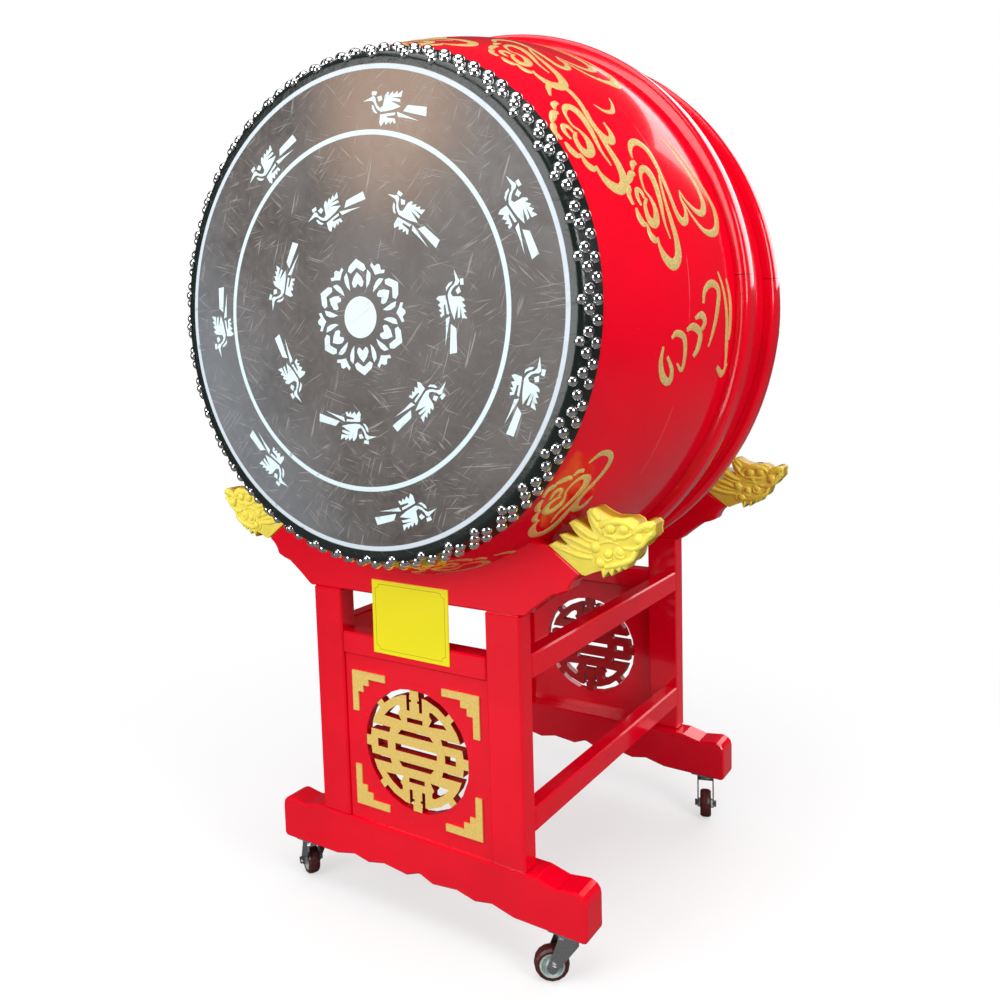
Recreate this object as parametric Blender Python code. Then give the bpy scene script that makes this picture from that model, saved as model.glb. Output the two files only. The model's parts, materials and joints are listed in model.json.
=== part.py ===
"""A temple drum lying in a wheeled cradle stand. Metres, +Z up.

The middle of the drum is over the origin, its front head faces -Y, its axis runs along Y,
and the floor that the casters stand on is z = 0.
"""

import math

import bmesh
import bpy
from mathutils import Matrix, Vector

# Fits between pieces
GAP = 0.0003

# Drum
DRUM_AXIS_Z = 1.159
SHELL_LENGTH = 0.954
SHELL_END_RADIUS = 0.416
SHELL_BELLY_RADIUS = 0.520
SHELL_WALL = 0.024
BARREL_POWER = 2.3
SHELL_EDGE_RADIUS = 0.010
SHELL_STEPS = 7
SKIN_THICKNESS = 0.0027
LAP_LENGTH = 0.034
HOOP_SPACING = 0.158
HOOP_WIDTH = 0.045
HOOP_HEIGHT = 0.020
HOOP_EDGE_RADIUS = 0.008
TURNED_SEGMENTS = 36

# Stand, as two equal frames joined by four stretchers
STAND_DEPTH = 0.767
STAND_OFFSET = 0.020
PLANK_THICKNESS = 0.041
EDGE_ROUND = 0.003
TENON_THICKNESS = 0.016
TENON_LENGTH = 0.030

# Foot beams
FOOT_HALF_LENGTH = 0.349
FOOT_THICKNESS = 0.061
FOOT_BOTTOM_Z = 0.0945
FOOT_HEIGHT = 0.0915
FOOT_END_RADIUS = 0.020
FOOT_CREST_DROP = 0.0045
FOOT_DIP_DROP = 0.0095
FOOT_DIP_X = 0.291
FOOT_CREST_X = 0.325
SCALLOP_HEIGHTS = ((0.0, 0.0205), (0.030, 0.0085), (0.085, 0.0145), (0.124, 0.0055), (0.160, 0.0125), (0.205, 0.0015))

# Posts, mid rail, panel
POST_OUTER_X = 0.233
POST_WIDTH = 0.069
PANEL_HEIGHT = 0.332
RAIL_HEIGHT = 0.044
SLOT_HEIGHT = 0.082
PANEL_RECESS = 0.006
PANEL_THICKNESS = 0.018

# Medallion and corner frets
MEDALLION_HOLE_RADIUS = 0.119
MEDALLION_RING_RADIUS = 0.108
MEDALLION_RING_WIDTH = 0.016
MEDALLION_TAB_HALF = 0.010
MEDALLION_SEGMENTS = 24
FRET_ARM = 0.080
FRET_STEP = 0.0135
FRET_HALF_WIDTH = 0.1455
FRET_HALF_HEIGHT = 0.1345
FRET_THICKNESS = 0.003

# Yokes
YOKE_LUG_X = 0.243
YOKE_SHOULDER = (0.297, 0.043)
YOKE_CUSP = (0.327, 0.054)
YOKE_END_LOW = (0.350, 0.084)
YOKE_END_HIGH = (0.292, 0.127)
YOKE_TOP_INNER = (0.262, 0.131)

# Dragon heads: the outline runs round the head from the top of its base
HEAD_OUTLINE = (
    (0.290, 0.1305), (0.331, 0.128), (0.314, 0.148), (0.351, 0.141), (0.331, 0.171), (0.372, 0.154),
    (0.361, 0.193), (0.382, 0.181), (0.402, 0.176), (0.420, 0.181), (0.434, 0.173), (0.441, 0.165),
    (0.455, 0.172), (0.466, 0.174), (0.472, 0.168), (0.470, 0.158), (0.459, 0.146), (0.452, 0.132),
    (0.446, 0.115), (0.437, 0.104), (0.426, 0.100), (0.419, 0.091), (0.412, 0.097), (0.403, 0.084),
    (0.396, 0.093), (0.383, 0.079), (0.381, 0.092), (0.362, 0.084),
)

# Stretchers
STRETCHER_HEIGHT = 0.045
STRETCHER_THICKNESS = 0.032
UPPER_STRETCHER_Z = 0.521
LOWER_STRETCHER_Z = 0.244

# Sign plate
SIGN_WIDTH = 0.172
SIGN_HEIGHT = 0.140
SIGN_THICKNESS = 0.002
SIGN_CENTRE = (0.003, 0.603)
SIGN_TILT = -0.4

# Casters
CASTER_X = 0.296
CASTER_PLATE_SIDE = 0.050
CASTER_PLATE_THICKNESS = 0.0025
RACE_RADIUS = 0.020
RACE_HEIGHT = 0.008
KINGPIN_RADIUS = 0.004
KINGPIN_HEAD_RADIUS = 0.007
KINGPIN_HEAD_HEIGHT = 0.003
FORK_THICKNESS = 0.0028
FORK_INNER_HALF = 0.0155
FORK_LENGTH = 0.036
FORK_EYE_RADIUS = 0.010
CASTER_TRAIL = 0.028
WHEEL_RADIUS = 0.031
WHEEL_HALF_WIDTH = 0.012
TYRE_THICKNESS = 0.0085
HUB_RADIUS = 0.010
AXLE_RADIUS = 0.004
AXLE_HEAD_RADIUS = 0.0075
AXLE_HEAD_LENGTH = 0.005
WHEEL_SEGMENTS = 16
CASTER_HEADINGS = {"front_right": 213.0, "front_left": 149.0, "rear_right": 289.0, "rear_left": 236.0}

# Heights that follow from the sizes above
FOOT_TOP_Z = FOOT_BOTTOM_Z + FOOT_HEIGHT
PANEL_TOP_Z = FOOT_TOP_Z + PANEL_HEIGHT
SLOT_BOTTOM_Z = PANEL_TOP_Z + RAIL_HEIGHT
YOKE_BOTTOM_Z = SLOT_BOTTOM_Z + SLOT_HEIGHT
PANEL_MIDDLE_Z = FOOT_TOP_Z + PANEL_HEIGHT / 2
POST_INNER_X = POST_OUTER_X - POST_WIDTH

MATERIALS = {
    "red_lacquer": ((0.72, 0.004, 0.012), 0.12, 0.0),
    "drum_skin": ((0.09, 0.075, 0.065), 0.45, 0.0),
    "gold_paint": ((0.80, 0.55, 0.16), 0.35, 0.0),
    "yellow_paint": ((0.90, 0.74, 0.20), 0.40, 0.0),
    "sign_yellow": ((0.95, 0.85, 0.02), 0.30, 0.0),
    "zinc": ((0.60, 0.62, 0.64), 0.30, 1.0),
    "caster_tyre": ((0.14, 0.02, 0.02), 0.35, 0.0),
    "caster_core": ((0.62, 0.72, 0.68), 0.40, 0.0),
}


def clear_scene():
    """Removes every object that the file opened with."""
    for old in list(bpy.data.objects):
        bpy.data.objects.remove(old, do_unlink=True)


def material(name):
    """Returns the named material, made the first time it is asked for."""
    if name in bpy.data.materials:
        return bpy.data.materials[name]
    colour, roughness, metallic = MATERIALS[name]
    made = bpy.data.materials.new(name)
    made.use_nodes = True
    shader = made.node_tree.nodes["Principled BSDF"]
    shader.inputs["Base Color"].default_value = (*colour, 1.0)
    shader.inputs["Roughness"].default_value = roughness
    shader.inputs["Metallic"].default_value = metallic
    return made


def place(name, bm, finish, parent=None, matrix=None):
    """Makes an object from a bmesh, finished and parented, with its faces pointing outwards."""
    bmesh.ops.remove_doubles(bm, verts=bm.verts, dist=1e-6)
    bmesh.ops.recalc_face_normals(bm, faces=bm.faces)
    mesh = bpy.data.meshes.new(name)
    bm.to_mesh(mesh)
    bm.free()
    made = bpy.data.objects.new(name, mesh)
    bpy.context.scene.collection.objects.link(made)
    if finish:
        mesh.materials.append(material(finish))
    if parent:
        made.parent = parent
    if matrix:
        made.matrix_local = matrix
    return made


def empty(name, location, heading=0.0):
    """Makes an empty that a moving group hangs from, on the group's joint axis."""
    made = bpy.data.objects.new(name, None)
    made.location = location
    made.rotation_euler = (0.0, 0.0, math.radians(heading))
    bpy.context.scene.collection.objects.link(made)
    return made


def hide_as_cutter(cutter):
    """Marks an object as a cutter, which is no part of the drum."""
    cutter.hide_render = True
    cutter.display_type = "WIRE"


def combine(target, other, operation):
    """Cuts or joins the other object's solid out of or into the target."""
    hide_as_cutter(other)
    step = target.modifiers.new(operation.lower() + "_" + other.name, "BOOLEAN")
    step.operation = operation
    step.solver = "EXACT"
    step.object = other


def soften(target, width, segments=1):
    """Rounds the target's sharp edges."""
    step = target.modifiers.new("rounded_edges", "BEVEL")
    step.width = width
    step.segments = segments
    step.limit_method = "ANGLE"
    step.angle_limit = math.radians(35.0)


def arc(centre, radius, start, end, steps):
    """Points on an arc in degrees, both ends included."""
    angles = [math.radians(start + (end - start) * i / steps) for i in range(steps + 1)]
    return [(centre[0] + radius * math.cos(a), centre[1] + radius * math.sin(a)) for a in angles]


def bowed(start, end, bow, steps):
    """Points on a shallow curve from start to end that bows to the left by the given height."""
    run = Vector(end) - Vector(start)
    side = Vector((-run.y, run.x)).normalized()
    shares = [i / steps for i in range(1, steps)]
    return [tuple(Vector(start) + run * s + side * bow * 4.0 * s * (1.0 - s)) for s in shares]


def eased(heights, steps):
    """Points through (x, z) stops that level out at each stop."""
    found = [heights[0]]
    for (x0, z0), (x1, z1) in zip(heights, heights[1:]):
        for i in range(1, steps + 1):
            share = i / steps
            ease = (1.0 - math.cos(math.pi * share)) / 2.0
            found.append((x0 + (x1 - x0) * share, z0 + (z1 - z0) * ease))
    return found


def mirrored(half):
    """Closes a half outline, given from the middle outwards and back, with its mirror image."""
    return half + [(-x, z) for x, z in reversed(half) if x > 1e-9]


def box(name, low, high, finish=None, parent=None):
    """Makes a box between two corners."""
    bm = bmesh.new()
    bmesh.ops.create_cube(bm, size=1.0)
    sizes = [b - a for a, b in zip(low, high)]
    middle = [(a + b) / 2.0 for a, b in zip(low, high)]
    bmesh.ops.scale(bm, vec=sizes, verts=bm.verts)
    bmesh.ops.translate(bm, vec=middle, verts=bm.verts)
    return place(name, bm, finish, parent)


def prism(name, outline, y0, y1, finish=None, parent=None, matrix=None):
    """Extrudes an (x, z) outline from y0 to y1."""
    bm = bmesh.new()
    face = bm.faces.new([bm.verts.new((x, y0, z)) for x, z in outline])
    moved = bmesh.ops.extrude_face_region(bm, geom=[face])["geom"]
    verts = [v for v in moved if isinstance(v, bmesh.types.BMVert)]
    bmesh.ops.translate(bm, vec=(0.0, y1 - y0, 0.0), verts=verts)
    return place(name, bm, finish, parent, matrix)


def turned(name, profile, closed, finish=None, parent=None, segments=TURNED_SEGMENTS, matrix=None):
    """Turns an (r, y) profile about the Y axis; a closed profile makes a ring."""
    bm = bmesh.new()
    verts = [bm.verts.new((r, y, 0.0)) for r, y in profile]
    pairs = list(zip(verts, verts[1:]))
    if closed:
        pairs.append((verts[-1], verts[0]))
    edges = [bm.edges.new(pair) for pair in pairs]
    bmesh.ops.spin(bm, geom=verts + edges, cent=(0, 0, 0), axis=(0, 1, 0), angle=math.tau,
                   steps=segments, use_merge=True, use_duplicate=False)
    made = place(name, bm, finish, parent, matrix)
    made.data.shade_smooth()
    made.data.set_sharp_from_angle(angle=math.radians(40.0))
    return made


def flipped(profile):
    """The same profile at the other end of the drum."""
    return [(r, -y) for r, y in profile]


def barrel_radius(y):
    """Outer radius of the wooden shell at a distance y from its middle."""
    share = abs(y) / (SHELL_LENGTH / 2.0)
    return SHELL_BELLY_RADIUS - (SHELL_BELLY_RADIUS - SHELL_END_RADIUS) * share ** BARREL_POWER


def barrel_slope(y):
    """How fast the shell's radius falls towards the +Y end at y, which is not negative."""
    half = SHELL_LENGTH / 2.0
    return (SHELL_BELLY_RADIUS - SHELL_END_RADIUS) * BARREL_POWER * (y / half) ** (BARREL_POWER - 1.0) / half


def barrel_point(y, offset):
    """A point of the profile that lies the offset outside the shell's side."""
    slant = math.atan(barrel_slope(y))
    return barrel_radius(y) + offset * math.cos(slant), y + offset * math.sin(slant)


def barrel_shoulder(offset, steps=3):
    """The rounded edge between the shell's +Y end and its side, from the end inwards."""
    slant = math.atan(barrel_slope(SHELL_LENGTH / 2.0))
    centre_r = SHELL_END_RADIUS - SHELL_EDGE_RADIUS * (1.0 / math.cos(slant) - math.tan(slant))
    centre_y = SHELL_LENGTH / 2.0 - SHELL_EDGE_RADIUS
    return arc((centre_r, centre_y), SHELL_EDGE_RADIUS + offset, 90.0, math.degrees(slant), steps)


def side_stations(start, end, steps):
    """Distances along the drum, both ends included."""
    return [start + (end - start) * i / steps for i in range(steps + 1)]


def build_shell(parent):
    """The barrel's wooden shell: an open tube with a bellied side and rounded ends."""
    shoulder = barrel_shoulder(0.0)
    half = SHELL_LENGTH / 2.0
    side = [barrel_point(y, 0.0) for y in side_stations(shoulder[-1][1], 0.0, SHELL_STEPS)[1:]]
    outer = shoulder + side
    bore = [(barrel_radius(y) - SHELL_WALL, y) for y in side_stations(0.0, half, SHELL_STEPS // 2)]
    top_half = outer + [(r, -y) for r, y in reversed(outer[:-1])]
    inner = [(r, -y) for r, y in reversed(bore[1:])] + bore
    return turned("drum_shell", top_half + inner, True, "red_lacquer", parent)


def build_hoop(name, middle, parent):
    """A raised hoop round the belly, its bore seated on the shell."""
    low, high = middle - HOOP_WIDTH / 2.0, middle + HOOP_WIDTH / 2.0
    top = barrel_radius(middle) + HOOP_HEIGHT
    sign = 1.0 if middle > 0.0 else -1.0
    seat = [barrel_point(abs(y), GAP) for y in side_stations(low, high, 2)]
    seat = [(r, sign * y) for r, y in seat]
    crown_high = arc((top - HOOP_EDGE_RADIUS, high - HOOP_EDGE_RADIUS), HOOP_EDGE_RADIUS, 90.0, 0.0, 2)
    crown_low = arc((top - HOOP_EDGE_RADIUS, low + HOOP_EDGE_RADIUS), HOOP_EDGE_RADIUS, 0.0, -90.0, 2)
    return turned(name, seat + crown_high + crown_low, True, "red_lacquer", parent)


def build_head(name, at_front, parent):
    """A drum head: hide stretched over the shell's end and lapped down its side."""
    outside = barrel_shoulder(GAP + SKIN_THICKNESS)
    inside = barrel_shoulder(GAP)
    lap_edge = SHELL_LENGTH / 2.0 - LAP_LENGTH
    stations = side_stations(SHELL_LENGTH / 2.0 - SHELL_EDGE_RADIUS, lap_edge, 2)[1:]
    outside += [barrel_point(y, GAP + SKIN_THICKNESS) for y in stations]
    inside += [barrel_point(y, GAP) for y in stations]
    profile = [(0.0, outside[0][1])] + outside + list(reversed(inside)) + [(0.0, inside[0][1])]
    return turned(name, flipped(profile) if at_front else profile, False, "drum_skin", parent)


def plank_y(side, depth):
    """The y of a plane that lies the depth inside a frame's outer face; side is -1 front, +1 rear."""
    return side * (STAND_DEPTH / 2.0 - depth) + STAND_OFFSET


def tenon_y(side, clearance=0.0):
    """The y range of a tenon in the middle of a plank's thickness."""
    middle = plank_y(side, PLANK_THICKNESS / 2.0)
    half = TENON_THICKNESS / 2.0 + clearance
    return middle - half, middle + half


def foot_outline():
    """A foot beam seen from the front: waved top, rounded ends and a scalloped lower edge."""
    crest_z = FOOT_TOP_Z - FOOT_CREST_DROP
    end_x = FOOT_HALF_LENGTH
    waves = [(x, FOOT_BOTTOM_Z + rise) for x, rise in SCALLOP_HEIGHTS]
    lower = eased(waves, 2) + [(end_x - 0.006, FOOT_BOTTOM_Z), (end_x, FOOT_BOTTOM_Z + 0.006)]
    corner = arc((end_x - FOOT_END_RADIUS, crest_z - FOOT_END_RADIUS), FOOT_END_RADIUS, 0.0, 80.0, 3)
    upper = [(FOOT_CREST_X, crest_z), (FOOT_DIP_X, FOOT_TOP_Z - FOOT_DIP_DROP), (POST_OUTER_X + 0.02, FOOT_TOP_Z)]
    return mirrored(lower + corner + eased(upper, 2) + [(0.0, FOOT_TOP_Z)])


def build_foot(name, side):
    """A foot beam, mortised for its two posts."""
    foot = prism(name, foot_outline(), plank_y(side, 0.0), plank_y(side, FOOT_THICKNESS), "red_lacquer")
    soften(foot, EDGE_ROUND)
    for hand in (-1, 1):
        combine(foot, tenon_box(f"{name}_mortise_{hand}", side, hand, FOOT_TOP_Z, -1, GAP), "DIFFERENCE")
    return foot


def tenon_box(name, side, hand, shoulder_z, direction, clearance=0.0):
    """The tenon on a post's end, or with a clearance the mortise that takes it."""
    inset = POST_WIDTH / 5.0
    xs = sorted((hand * (POST_INNER_X + inset - clearance), hand * (POST_OUTER_X - inset + clearance)))
    y0, y1 = tenon_y(side, clearance)
    zs = sorted((shoulder_z - direction * 0.004, shoulder_z + direction * (TENON_LENGTH + clearance)))
    return box(name, (xs[0], y0, zs[0]), (xs[1], y1, zs[1]))


def build_post(name, side, hand):
    """A post with a tenon at each end, mortised for its two stretchers."""
    xs = sorted((hand * POST_INNER_X, hand * POST_OUTER_X))
    ys = sorted((plank_y(side, 0.0), plank_y(side, PLANK_THICKNESS)))
    low_z, high_z = FOOT_TOP_Z + GAP, YOKE_BOTTOM_Z - GAP
    post = box(name, (xs[0], ys[0], low_z), (xs[1], ys[1], high_z), "red_lacquer")
    soften(post, EDGE_ROUND)
    combine(post, tenon_box(name + "_foot_tenon", side, hand, low_z, -1), "UNION")
    combine(post, tenon_box(name + "_yoke_tenon", side, hand, high_z, 1), "UNION")
    for level, low in (("upper", UPPER_STRETCHER_Z), ("lower", LOWER_STRETCHER_Z)):
        combine(post, stretcher_tenon(f"{name}_{level}_mortise", side, hand, low, GAP), "DIFFERENCE")
    return post


def stretcher_tenon(name, side, hand, low_z, clearance=0.0):
    """The stub tenon on a stretcher's end, or with a clearance its mortise."""
    inset_x, inset_z = STRETCHER_THICKNESS / 4.0, STRETCHER_HEIGHT / 5.0
    outer = POST_OUTER_X - inset_x + clearance
    inner = POST_OUTER_X - STRETCHER_THICKNESS + inset_x - clearance
    xs = sorted((hand * inner, hand * outer))
    face = plank_y(side, PLANK_THICKNESS)
    tip = face + side * (PLANK_THICKNESS / 3.0 + clearance)
    ys = sorted((face - side * 0.004, tip))
    low = (xs[0], ys[0], low_z + inset_z - clearance)
    return box(name, low, (xs[1], ys[1], low_z + STRETCHER_HEIGHT - inset_z + clearance))


def build_stretcher(name, hand, low_z):
    """A rail from the front post to the rear post, flush with their outer sides."""
    xs = sorted((hand * (POST_OUTER_X - STRETCHER_THICKNESS), hand * POST_OUTER_X))
    front = plank_y(-1, PLANK_THICKNESS) + GAP
    rear = plank_y(1, PLANK_THICKNESS) - GAP
    rail = box(name, (xs[0], front, low_z), (xs[1], rear, low_z + STRETCHER_HEIGHT), "red_lacquer")
    soften(rail, EDGE_ROUND)
    for side, end in ((-1, "front"), (1, "rear")):
        combine(rail, stretcher_tenon(f"{name}_{end}_tenon", side, hand, low_z), "UNION")
    return rail


def build_mid_rail(name, side):
    """The rail between the panel and the slot, across the two posts."""
    ys = sorted((plank_y(side, 0.0), plank_y(side, PLANK_THICKNESS)))
    half = POST_INNER_X - GAP
    rail = box(name, (-half, ys[0], PANEL_TOP_Z), (half, ys[1], SLOT_BOTTOM_Z), "red_lacquer")
    soften(rail, EDGE_ROUND)
    return rail


def build_panel(name, side):
    """The recessed board, with the round hole that the medallion fills."""
    ys = sorted((plank_y(side, PANEL_RECESS), plank_y(side, PANEL_RECESS + PANEL_THICKNESS)))
    half = POST_INNER_X - GAP
    board = box(name, (-half, ys[0], FOOT_TOP_Z + GAP), (half, ys[1], PANEL_TOP_Z - GAP), "red_lacquer")
    turn = Matrix.Translation((0.0, 0.0, PANEL_MIDDLE_Z))
    reach = PLANK_THICKNESS
    profile = [(0.0, ys[0] - reach), (MEDALLION_HOLE_RADIUS, ys[0] - reach),
               (MEDALLION_HOLE_RADIUS, ys[1] + reach), (0.0, ys[1] + reach)]
    hole = turned(name + "_hole", profile, False, segments=MEDALLION_SEGMENTS, matrix=turn)
    combine(board, hole, "DIFFERENCE")
    return board


def lattice_openings():
    """The medallion's openings in its right upper quarter, as outlines about its centre."""
    inner = MEDALLION_RING_RADIUS - MEDALLION_RING_WIDTH
    step = 0.0105
    ring_cut = [(0.011, 0.077), (0.011, 0.094), (0.007, 0.094), (0.007, 0.099), (0.011, 0.099),
                (0.011, 0.120), (0.018, 0.120), (0.018, 0.077)]
    hook = [(0.031, 0.054), (0.039, 0.068), (0.034, 0.074), (0.034, 0.082)]
    quarter = hook + arc((0.0, 0.0), inner, 64.0, 38.0, 2)
    row_two = [(0.061, 0.025), (0.058, 0.036), (0.120, 0.036), (0.120, 0.025)]
    row_three = [(0.066, 0.0 - step / 2.0), (0.066, 0.008), (0.090, 0.008), (0.090, 0.0 - step / 2.0)]
    return ring_cut, quarter, row_two, row_three


def middle_openings():
    """The medallion's openings that cross its upright middle line, as right halves."""
    top = [(0.0, 0.054), (0.018, 0.054), (0.018, 0.063), (0.0, 0.063)]
    upper = [(0.0, 0.026), (0.041, 0.026), (0.033, 0.036), (0.0, 0.036)]
    centre = [(0.0, -0.007), (0.048, -0.007), (0.048, 0.007), (0.0, 0.007)]
    return top, upper, centre


def quarters(outline):
    """An outline and its mirror images in the four quarters."""
    for sx in (1.0, -1.0):
        for sz in (1.0, -1.0):
            yield [(sx * x, sz * z) for x, z in outline]


def build_medallion(name, side):
    """A round longevity lattice, held by eight tabs in the panel's hole."""
    ys = sorted((plank_y(side, PANEL_RECESS), plank_y(side, PANEL_RECESS + PANEL_THICKNESS)))
    turn = Matrix.Translation((0.0, 0.0, PANEL_MIDDLE_Z))
    y0, y1 = ys
    disc = [(0.0, y0), (MEDALLION_RING_RADIUS, y0), (MEDALLION_RING_RADIUS, y1), (0.0, y1)]
    lattice = turned(name, disc, False, "gold_paint", segments=MEDALLION_SEGMENTS, matrix=turn)
    tip = MEDALLION_HOLE_RADIUS * math.cos(math.pi / MEDALLION_SEGMENTS) - GAP
    for i in range(8):
        half = MEDALLION_TAB_HALF if i % 2 == 0 else MEDALLION_TAB_HALF * 0.75
        tab = [(-half, MEDALLION_RING_RADIUS - 0.008), (half, MEDALLION_RING_RADIUS - 0.006),
               (half, math.sqrt(tip ** 2 - half ** 2)), (-half, math.sqrt(tip ** 2 - half ** 2))]
        spin = turn @ Matrix.Rotation(math.tau * i / 8, 4, "Y")
        combine(lattice, prism(f"{name}_tab_{i}", tab, y0, y1, matrix=spin), "UNION")
    cuts = [q for outline in lattice_openings()[:3] for q in quarters(outline)]
    row_three = lattice_openings()[3]
    for sx in (1.0, -1.0):
        cuts.append([(sx * x, z if z > 0.0 else -0.008) for x, z in row_three])
    top, upper, centre = middle_openings()
    for half_outline in (top, upper):
        for sz in (1.0, -1.0):
            whole = half_outline + [(-x, z) for x, z in reversed(half_outline) if x > 0.0]
            cuts.append([(x, sz * z) for x, z in whole])
    cuts.append(centre + [(-x, z) for x, z in reversed(centre) if x > 0.0])
    for i, outline in enumerate(cuts):
        cutter = prism(f"{name}_cut_{i}", outline, y0 - 0.004, y1 + 0.004, matrix=turn)
        combine(lattice, cutter, "DIFFERENCE")
    return lattice


def fret_outline(hand, up):
    """A corner fret: an L whose inner corner climbs in three steps."""
    arm, step = FRET_ARM, FRET_STEP
    corner = [(0.0, 0.0), (arm, 0.0), (arm, step), (arm - 3 * step, step), (arm - 3 * step, 2 * step),
              (arm - 4 * step, 2 * step), (arm - 4 * step, 3 * step), (step, 3 * step), (step, arm), (0.0, arm)]
    return [(hand * (FRET_HALF_WIDTH - x), PANEL_MIDDLE_Z + up * (FRET_HALF_HEIGHT - z)) for x, z in corner]


def build_fret(name, side, hand, up):
    """A fret on the panel's face."""
    depths = (PANEL_RECESS - GAP, PANEL_RECESS - GAP - FRET_THICKNESS)
    return prism(name, fret_outline(hand, up), plank_y(side, depths[0]), plank_y(side, depths[1]), "gold_paint")


def yoke_outline():
    """A yoke seen from the front, before the drum's bed is cut from its top."""
    base = YOKE_BOTTOM_Z
    shoulder, cusp = YOKE_SHOULDER, YOKE_CUSP
    low_end, high_end, top_inner = YOKE_END_LOW, YOKE_END_HIGH, YOKE_TOP_INNER
    half = [(0.0, 0.0), (YOKE_LUG_X, 0.0)]
    half += bowed((YOKE_LUG_X, 0.0), shoulder, 0.001, 5) + [shoulder]
    half += bowed(shoulder, cusp, -0.001, 2) + [cusp]
    half += bowed(cusp, low_end, 0.004, 4) + [low_end, high_end]
    half += [top_inner, (top_inner[0] - 0.10, top_inner[1]), (0.0, top_inner[1])]
    return mirrored([(x, base + z) for x, z in half])


def build_yoke(name, side, bed):
    """A cradle plank, bedded to the barrel's side and mortised for its posts."""
    yoke = prism(name, yoke_outline(), plank_y(side, 0.0), plank_y(side, PLANK_THICKNESS), "red_lacquer")
    soften(yoke, EDGE_ROUND)
    combine(yoke, bed, "DIFFERENCE")
    for hand in (-1, 1):
        combine(yoke, tenon_box(f"{name}_mortise_{hand}", side, hand, YOKE_BOTTOM_Z, 1, GAP), "DIFFERENCE")
    return yoke


def build_bed():
    """The space that the barrel takes, a fit's gap larger, used to cut both yokes."""
    ends = SHELL_LENGTH / 2.0 - SHELL_EDGE_RADIUS
    half = [barrel_point(y, GAP) for y in side_stations(ends, 0.0, 2 * SHELL_STEPS)]
    profile = [(0.0, half[0][1])] + half + flipped(list(reversed(half[:-1]))) + [(0.0, -half[0][1])]
    bed = turned("drum_bed", profile, False, segments=TURNED_SEGMENTS,
                 matrix=Matrix.Translation((0.0, 0.0, DRUM_AXIS_Z)))
    hide_as_cutter(bed)
    return bed


def build_dragon_head(name, side, hand):
    """A carved dragon head that finishes a yoke's end, cut from the same plank."""
    base_high, base_low = Vector(YOKE_END_HIGH), Vector(YOKE_END_LOW)
    along = (base_low - base_high).normalized()
    off = Vector((-along.y, along.x)) * GAP
    seat = [tuple(base_low + off), tuple(base_high + off)]
    outline = [(hand * x, YOKE_BOTTOM_Z + z) for x, z in list(HEAD_OUTLINE[1:]) + seat]
    depths = (EDGE_ROUND, PLANK_THICKNESS - EDGE_ROUND)
    head = prism(name, outline, plank_y(side, depths[0] - EDGE_ROUND), plank_y(side, depths[1]), "yellow_paint")
    return head


def build_sign():
    """The plain plate fixed over the front slot."""
    half_w, half_h = SIGN_WIDTH / 2.0, SIGN_HEIGHT / 2.0
    outline = [(-half_w, -half_h), (half_w, -half_h), (half_w, half_h), (-half_w, half_h)]
    face = plank_y(-1, 0.0) - GAP
    tilt = Matrix.Translation((SIGN_CENTRE[0], 0.0, SIGN_CENTRE[1]))
    tilt = tilt @ Matrix.Rotation(math.radians(-SIGN_TILT), 4, "Y")
    return prism("sign_plate", outline, face - SIGN_THICKNESS, face, "sign_yellow", matrix=tilt)


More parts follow.
